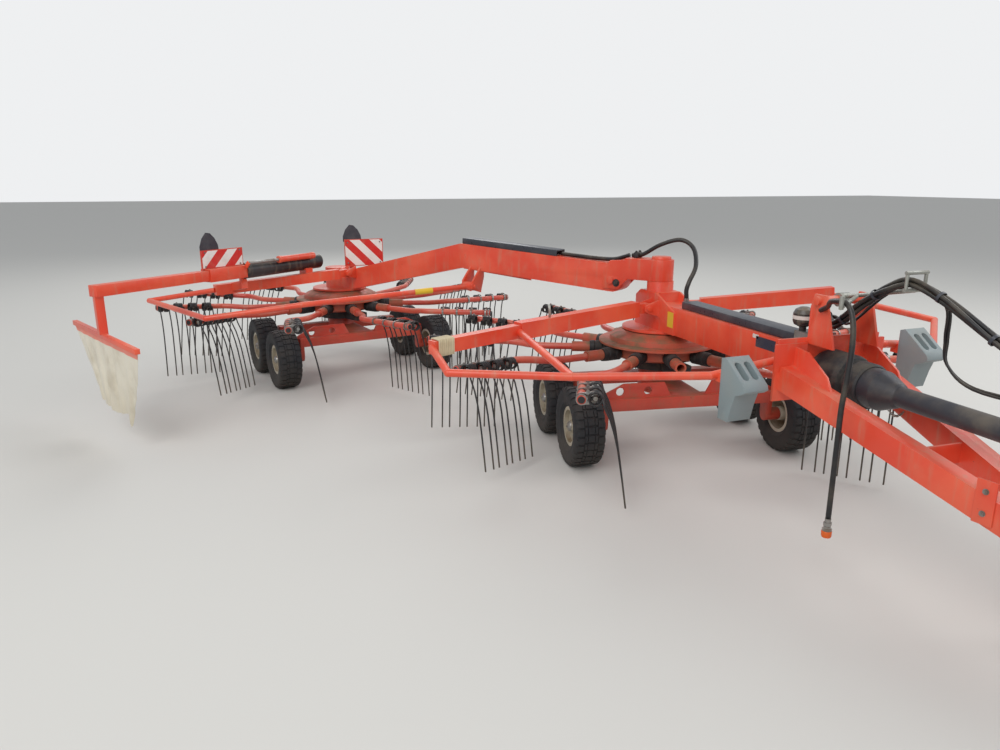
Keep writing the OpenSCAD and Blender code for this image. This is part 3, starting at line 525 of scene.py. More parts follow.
class Finish(Enum):
    """The finishes of the machine, each under its slot's name in the record where it has one."""

    RED = Paint("red_paint", tint(222, 68, 42), tint(232, 92, 62), dust=0.28, chips=0.5)
    WORN = Paint("worn_paint", tint(196, 78, 54), tint(176, 92, 66), 1.0, 0.6, 0.5, SOIL)
    CHASSIS = Paint("chassis_paint", tint(190, 50, 36), tint(202, 68, 50), 0.55, 0.6, dirt=SOIL)
    ARM = Paint("arm_paint", tint(200, 62, 48), tint(210, 88, 66), dust=0.4, chips=0.9)
    BLACK = Paint("black_paint", tint(34, 34, 36), tint(52, 52, 54), dust=0.4, chips=0.4)
    TYRE = Rubber("tyre", tint(32, 33, 37), tint(92, 84, 74), dust=0.35, gloss=0.72, low=True)
    RIM = Paint("rim", tint(206, 200, 182), tint(186, 178, 158), dust=0.7, chips=0.5, dirt=SOIL)
    # The cover's black is lightened and tinted blue all over: painted sky reflection laid over its
    # own dark colour.
    COVER = Rubber("cover", tint(52, 54, 62), tint(132, 130, 128), gloss=0.3, grain=0.0003)
    HOSE = Rubber("hose", tint(28, 28, 30), dust=0.22, gloss=0.42, grain=0.0002)
    BOOT = Rubber("boot", tint(34, 34, 35), tint(96, 88, 78), dust=0.4, gloss=0.6)
    TINE = TineSteel("spring_steel")
    CHOCK = Rubber("chock", tint(132, 144, 146), tint(150, 146, 132), 0.35, 0.5, 0.0007)
    CASTING = Steel("casting", tint(50, 50, 52), tint(84, 78, 70), 0.25, 0.55, 0.0008)
    BOARD = Paint("board", tint(196, 60, 44), tint(206, 80, 60))
    CLOTH = Weave("cloth", tint(228, 220, 200), tint(190, 176, 148))
    HEM = Weave("hem", tint(226, 124, 102), tint(206, 110, 90))
    BRIGHT = Steel("bright_steel", tint(160, 158, 154), tint(112, 98, 84), gloss=0.34)
    GALVANISED = Steel(
        "galvanised", tint(168, 168, 160), tint(140, 138, 126), metal=0.7, gloss=0.42, coarse=60.0
    )
    GUARD_PLASTIC = Rubber("shaft_guard", tint(50, 50, 56), dust=0.25, gloss=0.42)
    VALVE = Steel("valve", tint(150, 148, 144), tint(104, 96, 84), metal=0.6)
    ROPE = Weave("rope", tint(206, 192, 158), tint(164, 146, 112))
    YELLOW = Rubber("yellow_film", tint(226, 186, 44), dust=0.15, gloss=0.4)
    PALE = Rubber("pale_film", tint(214, 204, 196), dust=0.25, gloss=0.42)
    DARK = Rubber("dark_film", tint(44, 50, 66), dust=0.2, gloss=0.3)
    AMBER = Rubber("amber_lens", tint(214, 92, 24), dust=0.1, gloss=0.2)

    def material(self) -> bpy.types.Material:
        """This finish's material, made when it is first asked for."""
        if self not in MADE:
            MADE[self] = self.value.build()
        return MADE[self]


MADE: dict[Finish, bpy.types.Material] = {}
NODE_FINISHES = {finish.value.name: finish for finish in Finish}


def smooth_line(points: Sequence[Point], steps: int = 6) -> list[Vector]:
    """A curve through points, each joined to the next in equal steps.

    Args:
        points: the points that it passes
        steps: how many steps are taken from each point to the next

    Returns:
        The curve's points.
    """
    known = [Vector(p) for p in points]
    last = len(known) - 1
    line = []
    for i in range(last):
        a, b, c, d = known[max(i - 1, 0)], known[i], known[i + 1], known[min(i + 2, last)]
        slope, bend, twist = c - a, 2 * a - 5 * b + 4 * c - d, 3 * b - a - 3 * c + d
        for t in (k / steps for k in range(steps)):
            line.append(0.5 * (2 * b + t * slope + t * t * bend + t**3 * twist))
    return line + [known[last]]


def round_edges(
    mesh: bmesh.types.BMesh,
    edges: list[bmesh.types.BMEdge],
    radius: float,
    segments: int = 2,
    clamp: bool = False,
) -> None:
    """Rounds edges off.

    Args:
        mesh: the mesh that they belong to
        edges: the edges
        radius: their radius in metres
        segments: facets across an edge
        clamp: whether the radius shrinks where two edges are near each other
    """
    bmesh.ops.bevel(
        mesh,
        geom=edges,
        offset=radius,
        segments=segments,
        affect="EDGES",
        profile=0.5,
        material=-1,
        clamp_overlap=clamp,
    )


def show(name: str, data: bpy.types.ID) -> bpy.types.Object:
    """Puts data into the scene.

    Args:
        name: the object's name
        data: a mesh, a lamp or a camera

    Returns:
        The object that shows it.
    """
    made = bpy.data.objects.new(name, data)
    bpy.context.scene.collection.objects.link(made)
    return made


class Shape:
    """A mesh in the making, from which one finished piece comes."""

    def __init__(self) -> None:
        """Starts with nothing."""
        self.mesh = bmesh.new()

    def add(self, part: bmesh.types.BMesh, frame: Matrix) -> None:
        """Takes a finished part into the mesh.

        Args:
            part: the part, which is freed
            frame: where it stands
        """
        bmesh.ops.transform(part, matrix=frame, verts=part.verts)
        data = bpy.data.meshes.new("part")
        part.to_mesh(data)
        part.free()
        self.mesh.from_mesh(data)
        bpy.data.meshes.remove(data)

    def block(
        self, size: Sequence[float], frame: Matrix, round_off: float = 0.0, segments: int = 2
    ) -> None:
        """Adds a box about the frame's origin.

        Args:
            size: its lengths along x, y and z in metres
            frame: where it stands
            round_off: radius of its edges
            segments: facets across an edge
        """
        part = bmesh.new()
        bmesh.ops.create_cube(part, size=1.0)
        bmesh.ops.scale(part, vec=Vector(size), verts=part.verts)
        if round_off:
            round_edges(part, part.edges[:], round_off, segments)
        self.add(part, frame)

    def turned(self, outline: Outline, frame: Matrix, steps: int = 32) -> None:
        """Adds a closed outline of (radius, height) points, spun about the frame's z axis.

        Args:
            outline: the outline, each point off the axis
            frame: where the axis stands
            steps: facets round the axis
        """
        part = bmesh.new()
        corners = [part.verts.new((r, 0.0, h)) for r, h in outline]
        edges = [part.edges.new((a, b)) for a, b in zip(corners, corners[1:] + corners[:1])]
        spin = {"axis": (0, 0, 1), "cent": (0, 0, 0), "angle": math.tau, "steps": steps}
        bmesh.ops.spin(part, geom=corners + edges, use_merge=True, **spin)
        bmesh.ops.recalc_face_normals(part, faces=part.faces)
        self.add(part, frame)

    def collar(
        self, inner: float, outer: float, low: float, high: float, frame: Matrix, steps: int = 20
    ) -> None:
        """Adds a ring with a square section.

        Args:
            inner: radius of its bore
            outer: radius of its outside
            low: height of its lower face
            high: height of its upper face
            frame: where its axis stands
            steps: facets round the axis
        """
        outline = [(inner, low), (outer, low), (outer, high), (inner, high)]
        self.turned(outline, frame, steps)

    def rod(self, radius: float, length: float, frame: Matrix, sides: int = 16) -> None:
        """Adds a closed round bar.

        Args:
            radius: its radius in metres
            length: its length in metres
            frame: its foot's middle, from which it stands along z
            sides: facets round it
        """
        part = bmesh.new()
        ends = {"radius1": radius, "radius2": radius, "depth": length}
        bmesh.ops.create_cone(part, cap_ends=True, segments=sides, **ends)
        self.add(part, frame @ shift(z=length / 2))

    def plate(self, outline: Outline, depth: float, frame: Matrix) -> None:
        """Adds a flat plate.

        Args:
            outline: its outline in the frame's xy plane
            depth: how thick it is, along the frame's z axis
            frame: where it lies
        """
        part = bmesh.new()
        face = part.faces.new([part.verts.new((x, y, 0.0)) for x, y in outline])
        raised = bmesh.ops.extrude_face_region(part, geom=[face], use_keep_orig=True)
        moved = [v for v in raised["geom"] if isinstance(v, bmesh.types.BMVert)]
        bmesh.ops.translate(part, vec=(0.0, 0.0, depth), verts=moved)
        bmesh.ops.recalc_face_normals(part, faces=part.faces)
        self.add(part, frame)

    def bolt(self, size: float, frame: Matrix) -> None:
        """Adds a washer, a hexagon head and a thread's end.

        Args:
            size: the head's radius over its corners in metres, nearly
            frame: where it stands out along z
        """
        self.rod(size * 1.1, size * 0.18, frame, 20)
        self.rod(size * 0.86, size * 0.62, frame @ shift(z=size * 0.18), 6)
        self.rod(size * 0.45, size * 0.3, frame @ shift(z=size * 0.78), 10)

    def tube(self, line: Sequence[Vector], radius: float, sides: int = 8) -> None:
        """Adds a closed round tube that follows a line.

        Args:
            line: its middle, point by point
            radius: its radius in metres
            sides: facets round it
        """
        count = len(line)
        angles = [math.tau * k / sides for k in range(sides)]
        circle = [Vector((math.cos(a), math.sin(a), 0.0)) * radius for a in angles]
        ring: list[bmesh.types.BMVert] = []
        normal = Vector((0, 0, 1))
        for i, spot in enumerate(line):
            ahead = (line[min(i + 1, count - 1)] - line[max(i - 1, 0)]).normalized()
            normal = normal - ahead * normal.dot(ahead)
            if normal.length < 0.05:
                normal = ahead.orthogonal()
            normal.normalize()
            turn = Matrix((normal, ahead.cross(normal), ahead)).transposed().to_4x4()
            frame = Matrix.Translation(spot) @ turn
            fresh = [self.mesh.verts.new(frame @ corner) for corner in circle]
            if ring:
                for k in range(sides):
                    corners = (ring[k], ring[(k + 1) % sides], fresh[(k + 1) % sides], fresh[k])
                    self.mesh.faces.new(corners)
            else:
                self.mesh.faces.new(reversed(fresh))
            ring = fresh
        self.mesh.faces.new(ring)

    def piece(
        self,
        name: str,
        body: str,
        finish: Finish | bpy.types.Material,
        slot: str,
        crease: float = 40.0,
        instead: Iterable[str] = (),
        across: tuple[str, str, Vector, Vector] | None = None,
    ) -> bpy.types.Object:
        """Ends the mesh as a piece of the machine.

        Args:
            name: the piece's name
            body: the body that it rides on
            finish: its finish
            slot: the record's slot that it stands for; not used
            crease: angle in degrees from which an edge stays sharp
            instead: the nodes that it replaces
            across: two bodies and the ends of a bend, for a piece between bodies; when given, the
                piece stays in the model's frame on no body, and its contents are not read

        Returns:
            The piece.
        """
        limit = math.radians(crease)
        for face in self.mesh.faces:
            face.smooth = True
        for edge in self.mesh.edges:
            edge.smooth = len(edge.link_faces) == 2 and edge.calc_face_angle(0.0) < limit
        data = bpy.data.meshes.new(name)
        self.mesh.to_mesh(data)
        self.mesh.free()
        made = show(name, data)
        data.materials.append(finish.material() if isinstance(finish, Finish) else finish)
        if across:
            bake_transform(made)
        else:
            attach(made, body)
        if instead:
            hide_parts(*instead)
        LOG.info("%s: %d faces on %s", name, len(data.polygons), body)
        return made


def aim(spot: Vector, way: Sequence[float]) -> Matrix:
    """A frame at a spot whose z axis points a given way."""
    return Matrix.Translation(spot) @ Vector(way).to_track_quat("Z", "Y").to_matrix().to_4x4()


@dataclass
class Studio:
    """Camera, floor and soft light.

    Attributes:
        eye: where the camera stands, in the machine's millimetres
        pitch: the camera's angle from straight down, in degrees
        yaw: the camera's turn about the upright axis, in degrees
        lens: its focal length in millimetres
        aim_at: where the lamps look, in metres
        sky_light: the sky as it lights the machine
        sky_seen: the sky as the camera sees it
        floor_colour: the floor
    """

    eye: Point = (-2419.0, -4177.0, 1600.0)
    pitch: float = 75.4
    yaw: float = -18.0
    lens: float = 27.0
    aim_at: Point = (0.0, 0.0, 0.5)
    sky_light: Colour = (0.52, 0.54, 0.57, 1.0)
    sky_seen: Colour = (0.86, 0.87, 0.88, 1.0)
    floor_colour: Colour = tint(206, 204, 198)

    def build(self) -> None:
        """Sets up the whole stage."""
        scene = bpy.context.scene
        scene.view_settings.view_transform = "Standard"
        camera = show("camera", bpy.data.cameras.new("camera"))
        camera.data.lens = self.lens
        camera.data.sensor_width = 36.0
        camera.data.clip_end = 200.0
        camera.location = Place.FRONT.at(*self.eye)
        camera.rotation_euler = (math.radians(self.pitch), 0.0, math.radians(self.yaw))
        scene.camera = camera
        self.world()
        self.floor()
        self.lamp("key", (-6.0, -7.0, 8.0), 7.0, 620.0)
        self.lamp("fill", (7.0, -2.0, 6.0), 6.0, 260.0)
        self.lamp("back", (1.0, 9.0, 7.0), 6.0, 300.0)

    def world(self) -> None:
        """A pale sky that lights softly and shows nearly white behind the machine."""
        world = bpy.data.worlds.new("world")
        world.use_nodes = True
        nodes, links = world.node_tree.nodes, world.node_tree.links
        nodes.clear()
        path = nodes.new("ShaderNodeLightPath")
        mix = nodes.new("ShaderNodeMix")
        mix.data_type = "RGBA"
        mix.inputs[6].default_value = self.sky_light
        mix.inputs[7].default_value = self.sky_seen
        links.new(path.outputs["Is Camera Ray"], mix.inputs[0])
        sky = nodes.new("ShaderNodeBackground")
        links.new(mix.outputs[2], sky.inputs["Color"])
        out = nodes.new("ShaderNodeOutputWorld")
        links.new(sky.outputs[0], out.inputs["Surface"])
        bpy.context.scene.world = world

    def floor(self) -> None:
        """A wide plain floor."""
        mesh = bmesh.new()
        bmesh.ops.create_grid(mesh, x_segments=1, y_segments=1, size=60.0)
        data = bpy.data.meshes.new("floor")
        mesh.to_mesh(data)
        mesh.free()
        floor = show("floor", data)
        data.materials.append(Graph("floor").finish(self.floor_colour, 0.9))

    def lamp(self, name: str, spot: Point, size: float, power: float) -> None:
        """A square lamp that looks at the machine's middle.

        Args:
            name: its name
            spot: where it hangs, in metres
            size: length of its side in metres
            power: its power in watts
        """
        data = bpy.data.lights.new(name, "AREA")
        data.size = size
        data.energy = power
        lamp = show(name, data)
        lamp.location = spot
        way = Vector(self.aim_at) - Vector(spot)
        lamp.rotation_euler = way.to_track_quat("-Z", "Y").to_euler()


@dataclass
class Rotor:
    """One rotor's arms and sprung tines. Its sizes are in millimetres and degrees.

    Attributes:
        place: the frame that it is drawn in
        unit: front or rear
        phase: direction of its first arm
        skip: number of the arm that is off its stub, or -1
        rise: how far an arm's outer run lies above its inner run
        sweep: how far the outer run turns back from the inner one
        offset: how far the outer run lies beside the rotor's axis
        bend: the arm's middle from its socket to its outer run
        knee: where the outer run starts, and a point beyond the bend
        reach: where the outer run ends
        first: where the innermost tine is
        pitch: from one tine to the next
        clear: height of the tines' tips above the ground
        coil_back: how far the coils trail behind the arm
        coil_level: height of the coils' middle beside the arm's
        coil_gap: how far a tine stands in from the end of its coil
        hang: the tine below its coil, as (how far back from the coil, height)
        tip_back: how far back the tip is from the coil
        cam_roll: how far the cam rolls an arm where it lifts its tines most
        cam_high: the direction where it does
    """

    place: Place
    unit: str
    phase: float
    skip: int
    arm_count: int = 11
    arm_z: float = 552.0
    arm_r: float = 22.0
    rise: float = 26.0
    sweep: float = 23.0
    offset: float = 460.0
    bend: tuple[Point, ...] = (
        (401, 0, 0), (560, 0, 0), (690, -2, 0), (770, -14, 2), (835, -38, 9), (895, -62, 18),
        (950, -76, 24),
    )
    knee: tuple[float, float] = (885, 985)
    reach: float = 1403.0
    first: float = 994.0
    pitch: float = 57.5
    tine_count: int = 8
    tine_d: float = 9.5
    clear: float = 25.0
    coil_r: float = 36.0
    coil_back: float = 66.0
    coil_level: float = -6.0
    coil_gap: float = 5.0
    coil_turns: int = 3
    coil_steps: int = 12
    hang: Outline = ((58, -116), (70, -190), (76, -256), (79, -340), (81, -440))
    tip_back: float = 82.0
    cam_roll: float = 12.0
    cam_high: float = 165.0

    def turns(self) -> list[float]:
        """The directions of the arms that are there."""
        step = 360.0 / self.arm_count
        return [self.phase + i * step for i in range(self.arm_count) if i != self.skip]

    def arm_frame(self, turn: float) -> Matrix:
        """An arm's inner run.

        Args:
            turn: the arm's direction in degrees

        Returns:
            Its frame: x points out along it, and the cam has rolled it.
        """
        lift = math.cos(math.radians(turn - self.cam_high))
        roll = turn_about("X", self.cam_roll * max(0.0, lift) ** 0.5)
        return self.place.matrix() @ turn_about("Z", turn) @ shift(z=self.arm_z * MM) @ roll

    def run_frame(self, turn: float) -> Matrix:
        """An arm's outer run: x points out along it, and its tines trail towards y."""
        run = turn_about("Z", self.sweep) @ shift(0, -self.offset * MM, self.rise * MM)
        return self.arm_frame(turn) @ run

    def build(self) -> None:
        """Makes the rotor's pieces."""
        rows = (
            (self.arms(), "arm_tubes", Finish.ARM, "arm_paint", ["arms"]),
            (self.tines(), "sprung_tines", Finish.TINE, "spring_steel", ["tines"]),
            (self.saddles(), "tine_saddles", Finish.BRIGHT, "bright_steel", []),
            # Dark discs at the arms' ends are painted shade for the hollow inside the open tubes.
            (self.shade_discs(), "arm_mouth_shade", Finish.BOOT, "boot", []),
        )
        for shape, name, finish, slot, nodes in rows:
            instead = [f"{self.unit}_{node}" for node in nodes]
            shape.piece(f"{self.unit}_{name}", f"{self.unit}_rotor", finish, slot, instead=instead)

    def arms(self) -> Shape:
        """Tubes with an S bend between their two runs."""
        shape = Shape()
        run = turn_about("Z", self.sweep)
        outer = [run @ Vector((x, -self.offset, self.rise)) for x in (*self.knee, self.reach)]
        points = [*self.bend, *(tuple(spot) for spot in outer)]
        for turn in self.turns():
            line = [self.arm_frame(turn) @ (p * MM) for p in smooth_line(points, 4)]
            shape.tube(line, self.arm_r * MM, 16)
        return shape

    def coil(self, frame: Matrix, along: float, side: float) -> list[Vector]:
        """One tine's wire: three turns of coil, and the tine that hangs from the last one.

        Args:
            frame: the outer run's frame
            along: where the tine is on the run
            side: 1 or -1, the way from the tine to its coil

        Returns:
            The wire's points.
        """
        radius = self.coil_r - self.tine_d / 2
        pitch = self.tine_d * 1.03
        count = self.coil_turns * self.coil_steps
        wire = []
        for k in range(count + 1):
            left = 1.0 - k / count
            angle = -left * self.coil_turns * math.tau
            x = along + side * (left * self.coil_turns * pitch - self.coil_gap)
            y = self.coil_back + radius * math.cos(angle)
            wire.append(Vector((x, y, self.coil_level + radius * math.sin(angle))))
        drop = self.arm_z + self.rise - self.clear
        top = [(radius, self.coil_level), (radius + 6, -50)]
        x = along - side * self.coil_gap
        hang = [*top, *self.hang, (self.tip_back, -drop)]
        wire = wire[:-1] + [Vector((x, self.coil_back + y, z)) for y, z in hang]
        return [frame @ (p * MM) for p in wire]

    def tines(self) -> Shape:
        """Every tine with its coil."""
        shape = Shape()
        for turn in self.turns():
            frame = self.run_frame(turn)
            for k in range(self.tine_count):
                side = 1.0 if k % 2 == 0 else -1.0
                wire = self.coil(frame, self.first + k * self.pitch, side)
                shape.tube(wire, self.tine_d / 2 * MM, 7)
        return shape

    def saddles(self) -> Shape:
        """A bolted bracket for each pair of coils, and a clip at the arm's end."""
        shape = Shape()
        for turn in self.turns():
            frame = self.run_frame(turn)
            for k in range(0, self.tine_count, 2):
                along = self.first + k * self.pitch + self.pitch / 2
                here = frame @ Matrix.Translation(Vector((along, 0, 0)) * MM)
                for level in (0.020, -0.024):
                    shape.block((0.013, 0.062, 0.016), here @ shift(0, 0.038, level), 0.002)
                across = here @ turn_about("Y", 90) @ shift(z=-0.0065)
                shape.collar(self.arm_r * MM, 0.028, 0.0, 0.013, across)
                coils = here @ shift(0, self.coil_back * MM, self.coil_level * MM)
                shape.rod(0.011, 0.036, coils @ turn_about("Y", 90) @ shift(z=-0.018), 12)
                shape.bolt(0.009, here @ shift(0, 0.034, 0.028))
            end = frame @ Matrix.Translation(Vector((self.reach - 16, 0, 0)) * MM)
            shape.collar(self.arm_r * MM, 0.027, 0.0, 0.009, end @ turn_about("Y", 90))
        return shape

    def shade_discs(self) -> Shape:
        """Dark discs in the arms' open ends: painted shade that stands for the dark hollow inside
        each tube.
        """
        shape = Shape()
        for turn in self.turns():
            frame = self.run_frame(turn) @ shift(self.reach * MM - 0.004)
            shape.rod(0.0175, 0.0046, frame @ turn_about("Y", 90), 20)
        return shape


@dataclass
class Wheel:
    """One wheel: a treaded tyre, and the fittings of its rim.

    Attributes:
        place: the frame of the carriage
        name: the wheel's name, such as front_lead_right
        side: -1 on the machine's right, 1 on its left
        ahead: how far ahead of the rotor's axis it runs, in millimetres
        track: how far beside the carriage's middle it runs, in millimetres
        radius: the tyre's radius over its blocks, in millimetres
        width: the tyre's width in millimetres
        rim: the rim's radius in millimetres
        blocks: how many blocks stand round its tread
        lift: how far the blocks stand out, in metres
    """

    place: Place
    name: str
    side: int
    ahead: float
    track: float = 655.0
    radius: float = 228.0
    width: float = 176.0
    rim: float = 102.0
    blocks: int = 30
    lift: float = 0.0068

    def frame(self) -> Matrix:
        """The wheel's middle, with its axle along z, pointing outwards."""
        spot = Matrix.Translation(Vector((self.side * self.track, -self.ahead, self.radius)) * MM)
        return self.place.matrix() @ spot @ turn_about("Y", 90 * self.side)

    def build(self) -> None:
        """Makes the wheel's pieces."""
        body = f"{self.name}_wheel"
        nodes = [f"{self.name}_tyre"]
        self.tyre().piece(f"{self.name}_treaded_tyre", body, Finish.TYRE, "tyre", 34, nodes)
        self.fittings().piece(f"{self.name}_wheel_bolts", body, Finish.BRIGHT, "bright_steel")

    def tyre(self) -> Shape:
        """A carcass spun about the axle, with ribs raised from its tread and shoulders."""
        shape = Shape()
        bead, half = self.width / 3, self.width / 2
        top = self.radius - 7.0
        side_line = [
            (self.rim + 0.3, bead), (self.rim + 12, bead + 4), (self.rim + 22, bead + 14),
            (self.rim + 34, half * 0.9), (self.rim + 38, half * 0.93),
            (self.rim + 42, half * 0.92), (self.radius - 58, half * 0.985),
            (self.radius - 40, half), (self.radius - 26, half * 0.985),
            (self.radius - 15, half * 0.93), (top - 1.5, half * 0.84),
        ]
        tread = [(top, half * x) for x in (0.66, 0.46, 0.42, 0.25, 0.21, 0.03)]
        upper = side_line + tread
        outline = upper + [(r, -h) for r, h in reversed(upper)]
        shape.turned([(r * MM, h * MM) for r, h in outline], Matrix.Identity(4), self.blocks * 4)
        raised = []
        for face in shape.mesh.faces:
            middle = face.calc_center_median()
            reach = math.hypot(middle.x, middle.y) / MM
            level = middle.z / MM / half
            turn = (math.degrees(math.atan2(middle.y, middle.x)) / 360.0) % 1.0
            lean = 0.35 * abs(level)
            beat = (turn * self.blocks + lean) % 1.0
            rib = reach > top - 3.5
            groove = 0.40 < abs(level) < 0.47 or 0.2 < abs(level) < 0.26
            shoulder = top - 14 < reach <= top - 3.5
            if (rib and not groove and beat < 0.76) or (shoulder and beat < 0.5):
                raised.append(face)
        done = bmesh.ops.extrude_face_region(shape.mesh, geom=raised)
        moved = [v for v in done["geom"] if isinstance(v, bmesh.types.BMVert)]
        bmesh.ops.delete(shape.mesh, geom=raised, context="FACES")
        for vert in moved:
            out = Vector((vert.co.x, vert.co.y, 0.0)).normalized()
            vert.co += out * self.lift
        bmesh.ops.transform(shape.mesh, matrix=self.frame(), verts=shape.mesh.verts)
        return shape

    def fittings(self) -> Shape:
        """Five wheel bolts, a hub cap with its nipple, and a valve."""
        shape = Shape()
        frame = self.frame()
        for k in range(5):
            turn = turn_about("Z", 72 * k + 20)
            shape.bolt(0.011, frame @ turn @ shift(0.064, 0, 0.0235))
        cap = [(0.004, 0.0585), (0.030, 0.0585), (0.028, 0.066), (0.018, 0.073), (0.004, 0.075)]
        shape.turned(cap, frame, 28)
        shape.rod(0.004, 0.008, frame @ shift(z=0.074), 8)
        shape.rod(0.0045, 0.030, frame @ shift(0.086, 0, 0.030), 8)
        return shape


@dataclass
class Curtain:
    """The windrow curtain: cloth that hangs in folds, with a torn lower edge and a sewn hem.

    Attributes:
        out: how far its bar stands from the rotor's axis, in millimetres
        yaw: the direction of its bar from there, in degrees
        top: height of its upper edge in millimetres
        drop: how far it hangs down, in millimetres
        length: its length along its bar, in millimetres
        rows: faces from its upper edge to its lower edge
        columns: faces along its bar
        hem: height of its hem in millimetres
        lower_edge: depth at shares of its length from the front, as shares of its drop
    """

    out: float = 2245.0
    yaw: float = 199.0
    top: float = 649.7
    drop: float = 430.0
    length: float = 1240.0
    rows: int = 26
    columns: int = 72
    hem: float = 34.0
    lower_edge: Outline = (
        (0.0, 0.7), (0.05, 0.94), (0.09, 1.16), (0.15, 1.14), (0.2, 1.02), (0.4, 1.06),
        (0.6, 1.02), (1.0, 0.98),
    )

    def edge(self, share: float) -> float:
        """Depth of the cloth.

        Args:
            share: how far along the bar, from its front end

        Returns:
            The depth there as a share of its drop.
        """
        for (a, low), (b, high) in zip(self.lower_edge, self.lower_edge[1:]):
            if share <= b:
                t = (share - a) / (b - a)
                return low + (high - low) * t * t * (3 - 2 * t)
        return self.lower_edge[-1][1]

    def spot(self, share: float, fall: float) -> Vector:
        """A point of the cloth.

        Args:
            share: how far along the bar, from its front end
            fall: how far down, as a share of the cloth's depth there

        Returns:
            The point in the model's metres.
        """
        deep = self.edge(share) * self.drop * fall
        pull = min(1.0, deep / self.drop)
        along = (share - 0.5) * (self.length - 4.0)
        along += self.length * pull * (0.18 * (1.0 - share) ** 2 - 0.28 * share**1.5)
        wave = math.sin(share * 34.0 + 0.6) + 0.55 * math.sin(share * 61.0 + 2.0 + 2.2 * pull)
        swing = wave * (1.0 + 6.5 * min(1.0, fall * 1.6))
        swing += 16.0 * fall * math.sin(share * 7.0 + 0.4)
        crumple = 2.5 * math.sin(deep * 0.045 + share * 21.0)
        bar = heading(self.out, self.yaw)
        return Place.REAR.at(bar.x + swing + crumple * pull, bar.y + along, self.top - deep)

    def build(self) -> None:
        """Makes the cloth and its hem."""
        shape = Shape()
        across = {"x_segments": self.columns, "size": 0.5, "calc_uvs": True}
        bmesh.ops.create_grid(shape.mesh, y_segments=self.rows, **across)
        layer = shape.mesh.loops.layers.uv.verify()
        for vert in shape.mesh.verts:
            share, fall = vert.co.x + 0.5, 0.5 - vert.co.y
            for loop in vert.link_loops:
                loop[layer].uv = (share * self.length * MM, fall * self.drop * MM)
            vert.co = self.spot(share, fall)
        area = sum(face.calc_area() for face in shape.mesh.faces)
        cloth = shape.piece("curtain_cloth", "curtain", Finish.CLOTH, "cloth", 180, ["curtain"])
        self.thicken(cloth, 0.0016)
        hem = Shape()
        bmesh.ops.create_grid(hem.mesh, y_segments=2, **across)
        outward = (Place.REAR.matrix().to_3x3() @ Vector((-1, 0, 0))) * 0.0022
        for vert in hem.mesh.verts:
            share, fall = vert.co.x + 0.5, 0.5 - vert.co.y
            deep_here = self.hem / (self.edge(share) * self.drop)
            vert.co = self.spot(share, fall * deep_here) + outward
        band = hem.piece("curtain_hem", "curtain", Finish.HEM, "cloth", 180)
        self.thicken(band, 0.0014)

    def thicken(self, piece: bpy.types.Object, depth: float) -> None:
        """Gives a sheet its thickness.

        Args:
            piece: the sheet
            depth: its thickness in metres
        """
        solid = piece.modifiers.new("thickness", "SOLIDIFY")
        solid.thickness = depth
        solid.offset = 0.0


